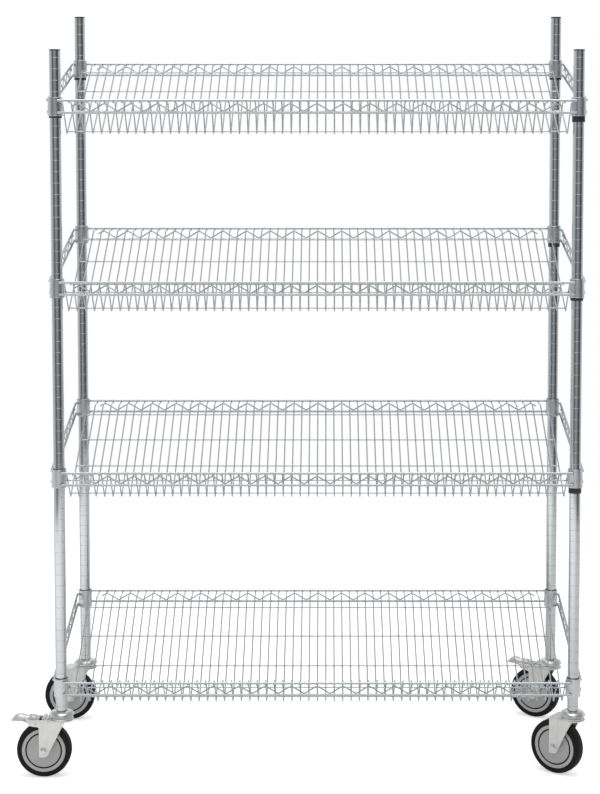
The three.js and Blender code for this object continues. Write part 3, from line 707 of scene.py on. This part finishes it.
long_truss = truss_shape(2 * HALF_X, LONG_PEAKS, BELOW_DECK)
side_truss = truss_shape(math.hypot(2 * HALF_Y, SHELF_RISE), SIDE_PEAKS, UNDER_RAIL)
trusses = long_truss.moved(at((0, -RAIL_OUT, 0)))
trusses += long_truss.moved(at((0, 2 * HALF_Y + RAIL_OUT, SHELF_RISE)))
for side in (-1, 1):
    trusses += side_truss.moved(side_place(side * (HALF_X + RAIL_OUT)))
print("trusses:", len(trusses.faces), "faces")

# %% Collars and weld beads
COLLAR_HEIGHT = 42.0
COLLAR_PROFILE = [
    (14.9, -20.6), (15.3, -21), (16.6, -21), (17.1, -20.4), (17.1, -19.8),
    (16.5, 19.8), (16.5, 20.4), (16.0, 21), (14.7, 21), (14.3, 20.6),
]
COLLAR = 1  # number of the collars' finish, after the wire's
BEAD_RADIUS, BEAD_STRETCH = 2.6, Vector((1.25, 1.1, 0.9))
BEAD_ALONG, BEAD_OUT = 8.6, 15.8  # from the post axis, along a rail and across it
BEAD_CLIMB = 2.2  # side rails climb to the rear, and their beads follow

bands = [COLLAR] * len(COLLAR_PROFILE)
collar = turned(COLLAR_PROFILE, POST_SIDES, ring=True, bands=bands)
collars, beads = Shape(), []
for side in (-1, 1):
    for rear in (0, 1):
        middle = Vector((side * HALF_X, rear * 2 * HALF_Y, rear * SHELF_RISE))
        collars += collar.moved(at(middle))
        outward = 1 if rear else -1
        for z in (-RAIL_RISE, RAIL_RISE):
            slant = z - outward * BEAD_CLIMB
            beads.append(middle + Vector((-side * BEAD_ALONG, outward * BEAD_OUT, z)))
            beads.append(middle + Vector((side * BEAD_OUT, -outward * BEAD_ALONG, slant)))
welds = grown(
    bead_tree,
    mesh_of("bead_places", Shape(beads)),
    Bead_radius=BEAD_RADIUS,
    Stretch=BEAD_STRETCH,
    Material=chrome_wire,
)
print(len(beads), "weld beads")

# %% Fit the shelves
shelf = deck + trusses + collars + welds
plating = [chrome_wire, collar_chrome]
for name, (height, _) in SHELVES.items():
    wirework = shelf.moved(at((0, -HALF_Y, height)))
    fit(f"{name}_wirework", wirework, plating, "rack", [name], SHARP_WIRE)
print("one shelf:", len(shelf.faces), "faces")

# %% [markdown]
# ## Sleeves
# A split plastic sleeve clips round the post, and its taper wedges in the collar. Only a black edge
# shows, below the collar or above it. It is a lathe form with a narrow gap, and each shelf's four
# sleeves are one piece, because they never move apart.

# %% Split sleeves
SLEEVE_BORE, SLEEVE_WALL, SLEEVE_TAPER = 13.0, 1.3, 0.6
SLEEVE_SPLIT = 1.6
END_INSET, END_LENGTH = 0.3, 0.5  # of the sleeve's eased ends


def sleeve_shape(drop, rear):
    low, high = -COLLAR_HEIGHT / 2 - drop, COLLAR_HEIGHT / 2 - drop
    wide, narrow = (
        SLEEVE_BORE + SLEEVE_WALL - SLEEVE_TAPER * z / COLLAR_HEIGHT for z in (low, high)
    )
    profile = [(SLEEVE_BORE, low), (wide - END_INSET, low), (wide, low + END_LENGTH)]
    profile += [(narrow, high - END_LENGTH), (narrow - END_INSET, high), (SLEEVE_BORE, high)]
    gap = SLEEVE_SPLIT / SLEEVE_BORE
    inward = -math.pi / 2 if rear else math.pi / 2
    return turned(profile, POST_SIDES, ring=True, start=inward + gap / 2, sweep=FULL_TURN - gap)


for name, (height, drops) in SHELVES.items():
    sleeves = Shape()
    for corner, drop in zip(CORNERS.values(), drops):
        rear = corner["y"] > 0
        place = at((corner["x"], corner["y"], height + rear * SHELF_RISE))
        sleeves += sleeve_shape(drop, rear).moved(place)
    nodes = [f"{name}_{corner}_sleeve" for corner in CORNERS]
    fit(f"{name}_split_sleeves", sleeves, [black_plastic], "rack", nodes)
    print(name, "sleeves:", len(sleeves.faces), "faces")

# %% [markdown]
# ## Casters: the swivel
# A caster is drawn about its swivel axis, with the floor at zero and the wheel trailing to -X. The
# stem runs up into the post. The pressed cup under the post is a shallow dome with a rolled lip,
# and the fork's race turns under it. Both are lathe forms.

# %% Stem, cup and race
CUP_STEPS = 48
head = [(0, 127), (7.4, 127), (9, 128.4), (9, 130.7), (6, 130.7)]
stem = turned([*head, (6, 154), (11.2, 154), (11.2, 212), (10, 214), (0, 214)], POST_SIDES)

crown = [(6.4, 153.5), (13.6, 153.6), (16.5, 153.1), (20.4, 152), (24, 150.2), (26.6, 148)]
lip = [(28, 145.8), (28.3, 144.8), (29.2, 144.4), (29.4, 143.7), (29, 142.9), (28, 142.5)]
cup = turned([*crown, *lip, (26.4, 142.4), (23.5, 143), (6.4, 143)], CUP_STEPS, ring=True)

lower = [(7, 133), (24.6, 133), (25, 133.6), (25, 136.6), (24.6, 137.4), (23, 137.9)]
upper = [(22.4, 138.4), (22.6, 138.9), (24, 139.4), (24.5, 140.1), (24.3, 141), (23.4, 141.7)]
race = turned([*lower, *upper, (7, 141.7)], CUP_STEPS, ring=True)
print("cup:", len(cup.faces), "faces, race:", len(race.faces), "faces")

# %% [markdown]
# ## Casters: the fork
# The fork is pressed from zinc-plated sheet: two legs and a top plate with a round nose. On the
# real one a pressed step runs down each leg and stiffens it, and the half by the stem leans out to
# meet the nose. So each leg is cut as a flat plate, split along the step's two edges, and bent
# there.

# %% Fork
WHEEL_RADIUS, TRAIL = 62.5, 40.0
UPRIGHT = Matrix.Rotation(math.pi / 2, 4, "X")  # stands a flat form on its edge
ACROSS = Matrix.Scale(-1, 4, (0, 1, 0))  # mirrors a form to the caster's other side
AXLE = at((-TRAIL, 0, WHEEL_RADIUS)) @ UPRIGHT
FORK_TOP = 134.0
FORK_INSIDE, FORK_PLATE, TOP_PLATE = 18.5, 2.5, 3.0
FOLDS = ((11.0, 0.4), (15.0, -0.34))  # a bend's distance from the axle, and its change of lean
LEG_BACK, LEG_FRONT, WING = 9.7, 53.0, 39.0  # reach from the axle; only a brake fork has wings
LEG_TOP = FORK_TOP - WHEEL_RADIUS
FOOT_RADIUS, NOSE_RADIUS = 14.0, 28.0
AXLE_HOLE, PIVOT_HOLE, STEM_HOLE = 4.9, 3.1, 7.0
PIVOT_X, PIVOT_Z = -56.0, 128.5
SHOULDER, SHOULDER_SINK, SHOULDER_END = 2.4, 1.6, 8.0  # radius, depth and reach of the rounded bend
SHOULDER_SIDES = 26
LAP = 0.6  # how far the top plate reaches into the legs
TOP_SHORT, SHOULDER_SHORT = 0.8, 1.0  # how far these two stop before the legs' rear edge
SIDE_TO_SIDE = [i / 7 - 1 for i in range(15)]  # even steps from -1 to 1


def lean_at(x):
    """How far a leg has moved out at a distance from the axle."""
    return sum(change * max(0, x - line) for line, change in FOLDS)


def folded(shape):
    """The flat plate bent outwards, towards +Z, at each fold."""
    form = bmesh.new()
    corners = [form.verts.new(p) for p in shape.points]
    for face in shape.faces:
        form.faces.new([corners[i] for i in face])
    for line, _ in FOLDS:
        everything = form.verts[:] + form.edges[:] + form.faces[:]
        bmesh.ops.bisect_plane(form, geom=everything, plane_co=(line, 0, 0), plane_no=(1, 0, 0))
    form.verts.index_update()
    points = [v.co + Vector((0, 0, lean_at(v.co.x))) for v in form.verts]
    bent = Shape(points, [[v.index for v in face.verts] for face in form.faces])
    form.free()
    return bent


def leg_shape(brake):
    """A leg in its own plane: x from the axle towards the stem, y up from the axle."""
    foot = arc(FOOT_RADIUS, (math.radians(d) for d in range(262, 351, 11)))
    outline, holes = [(LEG_FRONT, LEG_TOP, 2)], [circle(0, 0, AXLE_HOLE)]
    if brake:
        outline += [(-WING, LEG_TOP, 2), (2.5 - WING, LEG_TOP - 4, 3)]
        outline += [(-32, 59, 8), (-LEG_BACK, 56, 5)]
        holes.append(circle(PIVOT_X + TRAIL, PIVOT_Z - WHEEL_RADIUS, PIVOT_HOLE))
    else:
        outline.append((-LEG_BACK, LEG_TOP, 4))
    outline += [(-LEG_BACK, -13.8, 4), *foot, (43, 56, 20)]
    flat = plate(softened(outline, 4), FORK_PLATE, 0.5, holes)
    return folded(flat)


def shoulder_shape(start, end):
    """The rounded bend along the top of a leg, between two places on its outer face."""
    way = end - start
    along = way.normalized()
    up = Vector((0, 0, 1))
    turn = Matrix((along.cross(up), up, along)).transposed().to_4x4()
    section = circle(0, 0, SHOULDER, SHOULDER_SIDES)
    return plate(section, way.length, 0.4).moved(at(start) @ turn)


def fork_shape(brake):
    front = leg_shape(brake).moved(at((0, -FORK_INSIDE, 0)) @ AXLE)
    side = FORK_INSIDE + FORK_PLATE - LAP
    bent = [(line - TRAIL, side + lean_at(line)) for line, _ in FOLDS]
    turn = math.asin((side + lean_at(LEG_FRONT)) / NOSE_RADIUS)
    nose = arc(NOSE_RADIUS, (turn * share for share in SIDE_TO_SIDE))
    rear = -TRAIL if brake else -TRAIL - LEG_BACK + TOP_SHORT
    outline = [(rear, -side), *((x, -y) for x, y in bent), *nose, *reversed(bent), (rear, side)]
    top = plate(outline, TOP_PLATE, 0.7, [circle(0, 0, STEM_HOLE)])
    top = top.moved(at((0, 0, FORK_TOP - TOP_PLATE)))
    wing = -TRAIL - (WING if brake else LEG_BACK) + SHOULDER_SHORT
    line = [(wing, side), *bent, (SHOULDER_END, side + lean_at(SHOULDER_END + TRAIL))]
    line = [Vector((x, LAP - y, FORK_TOP - SHOULDER_SINK)) for x, y in line]
    shoulder = Shape()
    for start, end in zip(line, line[1:]):
        shoulder += shoulder_shape(start, end)
    shoulder += shoulder.moved(ACROSS)
    return front + front.moved(ACROSS) + top + shoulder + race


print("fork:", len(fork_shape(True).faces), "faces")

# %% [markdown]
# ## Casters: axle, wheel and tyre
# The axle is a hexagon-headed bolt with a nut on the far side. The wheel's face is what the eye
# goes to: a black tyre with a round shoulder, a light grey rim ring, a thin black gap, and a darker
# dust disc. Each is a lathe form, and the bands of the wheel's profile choose its finishes.

# %% Bolt and nut
HEX_FLAT = 6.5
SEAT = FORK_INSIDE + FORK_PLATE + 0.1
HEX_CORNER = HEX_FLAT / math.cos(math.pi / 6)
HEAD_LOW, HEAD_HIGH = SEAT + 1.0, SEAT + 5.0

flats = [(HEX_CORNER - 0.3, HEAD_LOW), (HEX_CORNER, HEAD_LOW + 0.3), (HEX_CORNER, HEAD_HIGH - 1.0)]
top = [(HEX_FLAT - 0.3, HEAD_HIGH - 0.25), (HEX_FLAT - 1.2, HEAD_HIGH), (3.2, HEAD_HIGH)]
dimple = [(2.6, HEAD_HIGH - 0.5), (0, HEAD_HIGH - 0.6)]
rim = [(8.6, SEAT), (9, SEAT + 0.3), (9, SEAT + 0.8), (8.5, SEAT + 1.1)]
bolt = turned([(0, -28.6), (3.2, -28.6), (3.9, -27.9), (3.9, SEAT), (0, SEAT)], SMALL_STEPS)
bolt += turned([(0, SEAT), *rim, (0, SEAT + 1.1)], POST_SIDES)
bolt += turned([(0, HEAD_LOW), *flats, *top, *dimple], 6)

wall = [(7.3, -SEAT - 5.2), (7.5, -SEAT - 4.9), (7.5, -SEAT - 0.4), (7.2, -SEAT)]
nut = turned([(4.1, -SEAT - 5.9), (5.6, -SEAT - 6), *wall, (4.1, -SEAT)], 6, ring=True)
print("bolt:", len(bolt.faces), "faces, nut:", len(nut.faces), "faces")

# %% Wheel and tyre
WHEEL_STEPS = 72
DISC, RIM, GROOVE = 0, 1, 2  # numbers of the wheel's finishes
WHEEL_FINISHES = [disc_plastic, rim_plastic, groove_black]
PINS, PIN_PLACE, PIN_START = 3, (29, 0, 14.3), 0.12  # moulded pins on the disc; start in turns


def both_sides(side):
    """A wheel profile from one side's (radius, height) pairs, mirrored about the wheel's middle."""
    return [(radius, -height) for radius, height in reversed(side)] + list(side)


rim = [(50, 13.4), (49.5, 13.9), (48.8, 14), (43, 14), (42.3, 13.7), (42, 13)]
groove = [(42, 10.6), (38.7, 10.6)]
disc = [(38.7, 13.4), (38.2, 14), (36, 14.1), (24, 14.9), (17, 15.3)]
disc += [(15.4, 15.8), (14, 17.6), (13.2, 18.1), (5.2, 18.1)]
bands = [RIM] * (len(rim) - 1) + [GROOVE] * (len(groove) + 1) + [DISC] * (len(disc) - 1)
bands = bands[::-1] + [RIM] + bands + [DISC]
core = turned(both_sides(rim + groove + disc), WHEEL_STEPS, ring=True, bands=bands)
pin = turned([(0, 0), (2.1, 0), (2.1, 0.35), (1.8, 0.6), (0, 0.6)], 16)
for i in range(PINS):
    turn = Matrix.Rotation(FULL_TURN * (i / PINS + PIN_START), 4, "Z") @ at(PIN_PLACE)
    core += pin.moved(turn) + pin.moved(Matrix.Rotation(math.pi, 4, "X") @ turn)

crown = [(62.5, 0.4), (62.35, 0.8), (62.3, 5), (62.1, 8.5), (61.5, 11.4), (60.3, 13.6)]
wall = [(58.6, 15.2), (56.8, 15.9), (55, 16), (53.2, 15.4)]
wall += [(51.4, 14.6), (50.2, 14.2), (50.2, 13.2)]
tyre = turned(both_sides(crown + wall), WHEEL_STEPS, ring=True)
print("core:", len(core.faces), "faces, tyre:", len(tyre.faces), "faces")

# %% [markdown]
# ## Casters: the foot brake
# The pedal is a pressed scoop on a pivot between the fork's wings. It is arched along its length
# and crowned across, which a grid of points with a thickness gives directly. Two cheeks carry the
# pivot pin, rivets stand on top, and a dark block under the pedal comes close to the tyre when the
# pedal goes down. The pedal is drawn about its pivot, at rest.

# %% The pedal's sheet
PEDAL_SHEET, PEDAL_STEPS = 2.0, 27
HALF_WIDTH, TREAD_WIDENS = 11.5, 3.3  # half its width at the pivot, and what the tread adds
TREAD_START, TREAD_WAY = 14.0, 16.0  # where the tread starts, and how far it goes on widening
TIP_START, TIP_WAY, TIP_TAPER = 48.0, 11.5, 0.7  # the rounded tip
CROWN = 0.8  # how far the sheet's sides are lower than its middle, apart from the skirts
SKIRT_POWER, SKIRT_THINS = 4, 0.8  # how sharply the skirts turn down, and how much they thin
PEDAL_LINE = [  # the pedal's top at rest: out from the pivot, and up from it
    (-5, 5.2), (0, 10.2), (6, 13.2), (14, 13.6), (22, 12.8),
    (30, 14.6), (37, 16.6), (45, 15.8), (52, 11.0), (58.4, 4.2),
]
SKIRT_LINE = [  # depth of its turned-down sides, by the distance out
    (-5, 2), (8, 2), (12, 4), (15, 17), (24, 13),
    (32, 11.5), (38, 13), (45, 12), (52, 7), (58.4, 2),
]


def smooth_line(corners, share):
    """A point on a smooth line through the corners, at a share of their count."""
    place = share * (len(corners) - 1)
    i = min(int(place), len(corners) - 2)
    t = place - i
    a, b, c, d = (Vector(corners[min(max(i + k, 0), len(corners) - 1)]) for k in (-1, 0, 1, 2))
    square, cube = 2 * a - 5 * b + 4 * c - d, 3 * (b - c) + d - a
    return b + (c - a) * t / 2 + square * t**2 / 2 + cube * t**3 / 2


def skirt_depth(out):
    """How far the pedal's sides are turned down at a distance from the pivot."""
    for (start, first), (end, second) in zip(SKIRT_LINE, SKIRT_LINE[1:]):
        if out <= end:
            return first + (second - first) * max(0, out - start) / (end - start)
    return SKIRT_LINE[-1][1]


def pedal_point(share, across, sink):
    out, up = smooth_line(PEDAL_LINE, share)
    width = HALF_WIDTH + TREAD_WIDENS * min(max((out - TREAD_START) / TREAD_WAY, 0), 1)
    if out > TIP_START:
        width *= math.sqrt(1 - ((out - TIP_START) / TIP_WAY) ** 2 * TIP_TAPER)
    side = abs(across) ** SKIRT_POWER
    drop = skirt_depth(out) * side + CROWN * across**2 + sink * (1 - SKIRT_THINS * side)
    return (-out, across * (width - sink * side), up - drop)


shares = [i / PEDAL_STEPS for i in range(PEDAL_STEPS + 1)]
spans = [math.sin(math.pi / 2 * share) for share in SIDE_TO_SIDE]
sheet = [[[pedal_point(s, a, sink) for a in spans] for s in shares] for sink in (0, PEDAL_SHEET)]
pedal = shell(*sheet)
print("pedal sheet:", len(pedal.faces), "faces")

# %% Pedal, brake block and bridge
LEVER = at((PIVOT_X, 0, PIVOT_Z))
BOSS_RADIUS, PIN_RADIUS = 4.2, 2.5
CHEEK_SHEET, CHEEK_OUT = 1.8, 11.4  # the cheeks' thickness, and how far out they stand
BLOCK_HALF = 6.5  # half the block's width, across the tyre
BRIDGE_SHEET, RIVET_X, RIVET_OUT = 3.2, -38, 11.2


def pin_shape(radius, half, ease=0.4):
    end = [(radius, half - ease), (radius - ease, half), (0, half)]
    return turned(both_sides(end), SMALL_STEPS).moved(UPRIGHT)


outline = [(5, -4, 3), (6, 3, 2), (-2, 10.2, 3), (-26, 10.2, 2), (-26, 6, 2), (-4, -5, 3)]
cheek = plate(softened(outline), CHEEK_SHEET, 0.3)
for y in (CHEEK_SHEET - CHEEK_OUT, CHEEK_OUT):
    pedal += cheek.moved(at((0, y, 0)) @ UPRIGHT)
head = [(0, -1), (3.2, -1), (3.2, 0.5), (2.7, 1.4), (1.6, 1.9), (0, 2.0)]
for out, up in PEDAL_LINE[2:4]:
    pedal += turned(head, SMALL_STEPS).moved(at((-out, 0, up - 0.1)))
pedal += pin_shape(BOSS_RADIUS, HALF_WIDTH) + pin_shape(PIN_RADIUS, FORK_INSIDE + FORK_PLATE)

# the block stays clear of the tyre at rest and comes close when the pedal is down
outline = [(-14.5, -6.2, 1.5), (-20.2, -8.2, 1.5), (-20.4, 9.8, 0.8), (-14, 10.4, 0.8)]
block = plate(softened(outline), 2 * BLOCK_HALF, 0.6).moved(at((0, BLOCK_HALF, 0)) @ UPRIGHT)

# the bridge is the strap behind the swivel that holds the brake's spring, with its two rivets
outline = [(-28, -13, 3), (-28, 13, 3), (-44, 15, 3), (-44, -15, 3)]
strap = plate(softened(outline), BRIDGE_SHEET, 0.6)
outline = [(-34, -9, 2), (-34, 9, 2), (-40, 9, 2), (-40, -9, 2)]
rib = plate(softened(outline), BRIDGE_SHEET, 1.0)
bridge = strap.moved(at((0, 0, FORK_TOP - 0.4))) + rib.moved(at((0, 0, FORK_TOP + 2.4)))
head = [(0, 0), (3.6, 0), (3.6, 2.2), (3, 3.4), (1.6, 4.0), (0, 4.1)]
for y in (-RIVET_OUT, RIVET_OUT):
    bridge += turned(head, SMALL_STEPS).moved(at((RIVET_X, y, FORK_TOP + 2.6)))
print("pedal:", len(pedal.faces), "faces, bridge:", len(bridge.faces), "faces")

# %% [markdown]
# ## Putting the casters together
# Each piece rides on the body that moves it: the stem and cup stay with the rack, the fork and axle
# swivel, the wheel and tyre spin, and the pedal and its block tip.

# %% Fit the casters
for name, corner in CORNERS.items():
    stand = at((corner["x"], corner["y"], 0))
    swivel = stand @ Matrix.Rotation(math.radians(corner["yaw"]), 4, "Z")
    axle, lever = swivel @ AXLE, swivel @ LEVER
    caster, wheel, brake = f"{name}_caster", f"{name}_wheel", f"{name}_brake"
    fork = fork_shape(corner["brake"]) + (bridge if corner["brake"] else Shape())
    pieces = [  # name, shape, place, finishes, body, slot and CAD node
        ("stem", stem, stand, [bright_zinc], "rack", "zinc_plate", "caster_stem"),
        ("pressed_cup", cup, stand, [bright_zinc], "rack", "zinc_plate", "swivel_cup"),
        ("pressed_fork", fork, swivel, [zinc_plate], caster, "zinc_plate", "fork"),
        ("hex_bolt", bolt, axle, [bright_zinc], caster, "zinc_plate", "axle_bolt"),
        ("hex_nut", nut, axle, [bright_zinc], caster, "zinc_plate", "axle_nut"),
        ("wheel_disc", core, axle, WHEEL_FINISHES, wheel, "grey_plastic", "wheel_core"),
        ("rubber_tyre", tyre, axle, [black_rubber], wheel, "black_rubber", "tyre"),
    ]
    if corner["brake"]:
        pieces += [
            ("pedal", pedal, lever, [zinc_plate], brake, "zinc_plate", "brake_pedal"),
            ("brake_block", block, lever, [black_plastic], brake, "black_plastic", "brake_shoe"),
        ]
    for piece, shape, place, finishes, body, slot, node in pieces:
        sharp = SHARP_FOLD if piece == "pressed_fork" else SHARP_EDGE
        fit(f"{name}_{piece}", shape.moved(place), finishes, body, [f"{name}_{node}"], sharp)
    print(name, "caster is on", caster)

# %% [markdown]
# ## Studio
# The photograph shows the rack on white. Chrome shows what is round it, so the studio matters as
# much as the metal. A round white floor makes the lower posts pale, and glows most towards the
# front left. Beyond it two dark bands and a grey middle draw the dark stripes on the upper posts,
# and a bright strip overhead lights the tops of the wires. The camera itself sees plain white.

# %% Floor
FLOOR_RADIUS, FLOOR_STEPS = 3.4, 96
FRONT_LEFT, GLOW_REACH = (-0.6, -0.8), 2.2  # a direction, and the metres to the full glow


def floor_mix(tone):
    clouds = noise(tone, 1.5)
    where = tone.node("TexCoord", output="Object")
    side, back = (tone.node("SeparateXYZ", inputs={0: where}, output=i) for i in range(2))
    front_left = band(tone, side * FRONT_LEFT[0] + back * FRONT_LEFT[1], 0.0, GLOW_REACH)
    seen = tone.node("LightPath", output="Is Camera Ray")
    glow = tone.math("MAXIMUM", front_left, seen)
    return {
        "Base Color": blend(tone, clouds, (0.90, 0.90, 0.90), (0.93, 0.93, 0.93)),
        "Roughness": 0.9,
        "Specular IOR Level": 0.1,
        "Emission Color": blend(tone, glow, (0.0, 0.0, 0.0), (1.0, 1.0, 1.0)),
        "Emission Strength": 0.5,
    }


floor_mesh = bpy.data.meshes.new("studio_floor")
rim = [(x, y, 0) for x, y in circle(0, 0, FLOOR_RADIUS, FLOOR_STEPS)]
floor_mesh.from_pydata(rim, [], [range(FLOOR_STEPS)])
floor_mesh.materials.append(finish("studio_floor", floor_mix))
floor = bpy.data.objects.new("studio_floor", floor_mesh)
bpy.context.collection.objects.link(floor)
print("floor:", FLOOR_RADIUS, "m in radius")

# %% World
STRIPES = [  # degrees round from the camera's side, and how bright the studio is there
    (-180, 0.95), (-110, 0.85), (-78, 0.66), (-58, 0.46), (-46, 0.18), (-28, 0.16), (-14, 0.40),
    (4, 0.44), (28, 0.28), (44, 0.10), (72, 0.10), (86, 0.5), (112, 0.82), (180, 0.95),
]
COOL = (0.97, 1.0, 1.02)
CEILING, LIGHT_STRIP = 0.36, 1.0  # a bright strip runs overhead from front to back
CEILING_EDGE, STRIP_EDGE = (0.25, 0.7), (0.12, 0.35)  # where they fade, as parts of a direction

world = bpy.data.worlds.new("studio")
world.use_nodes = True
bpy.context.scene.world = world
tone = Tone(world.node_tree)
direction = tone.node("TexCoord", output="Generated")
side, back, up = (tone.node("SeparateXYZ", inputs={0: direction}, output=i) for i in range(3))
round_share = tone.math("ARCTAN2", side, 0 - back) / FULL_TURN + 0.5
stops = [(0.5 + turn / 360, (*(level * share for share in COOL), 1)) for turn, level in STRIPES]
stripes = tone.node("ValToRGB", {"stops": stops}, {0: round_share})
strip = 1 - band(tone, tone.math("ABSOLUTE", side), *STRIP_EDGE)
overhead = blend(tone, strip, (CEILING,) * 3, (LIGHT_STRIP,) * 3)
height = band(tone, up, *CEILING_EDGE)
studio = blend(tone, height, stripes, overhead)
seen = tone.node("LightPath", output="Is Camera Ray")
shown = blend(tone, seen, studio, (1, 1, 1))
feed(world.node_tree, world.node_tree.nodes["Background"], {"Color": shown})
print("world has", len(STRIPES), "stops")

# %% Lights
SOFTBOXES = [  # name, place, aim, size and power
    ("overhead_softbox", (0, -0.3, 4.2), (0, 0, 0), 2.6, 48),
    ("left_softbox", (-3.4, -2.2, 2.6), (0, 0, 0.9), 1.4, 22),
    ("right_softbox", (3.4, -1.6, 2.4), (0, 0, 0.9), 1.4, 18),
]
for name, place, aim, size, power in SOFTBOXES:
    data = bpy.data.lights.new(name, "AREA")
    data.size, data.energy = size, power
    box = bpy.data.objects.new(name, data)
    box.location = place
    box.rotation_euler = (Vector(aim) - Vector(place)).to_track_quat("-Z", "Y").to_euler()
    box.visible_camera = False
    box.visible_glossy = name == "overhead_softbox"
    bpy.context.collection.objects.link(box)
print(len(SOFTBOXES), "softboxes")

# %% [markdown]
# ## Camera
# The photograph was taken a little right of the middle, with a long lens, almost level. The post
# tops and wheels in the picture fix the distance and the lens. Most of the framing comes from the
# lens shift, which keeps the posts nearly upright, and a small tilt does the rest.

# %% Camera
TILT = 4.0
camera_data = bpy.data.cameras.new("camera")
camera_data.lens = 80.0
camera_data.sensor_width = 36
camera_data.shift_x, camera_data.shift_y = -0.0333, -0.1574
camera = bpy.data.objects.new("camera", camera_data)
camera.location = (0.0212, -4.1632, 1.4345)
camera.rotation_euler = (math.radians(90 - TILT), 0, 0)
bpy.context.collection.objects.link(camera)
bpy.context.scene.camera = camera
bpy.context.scene.view_settings.view_transform = "Standard"
print("camera at", tuple(camera.location))
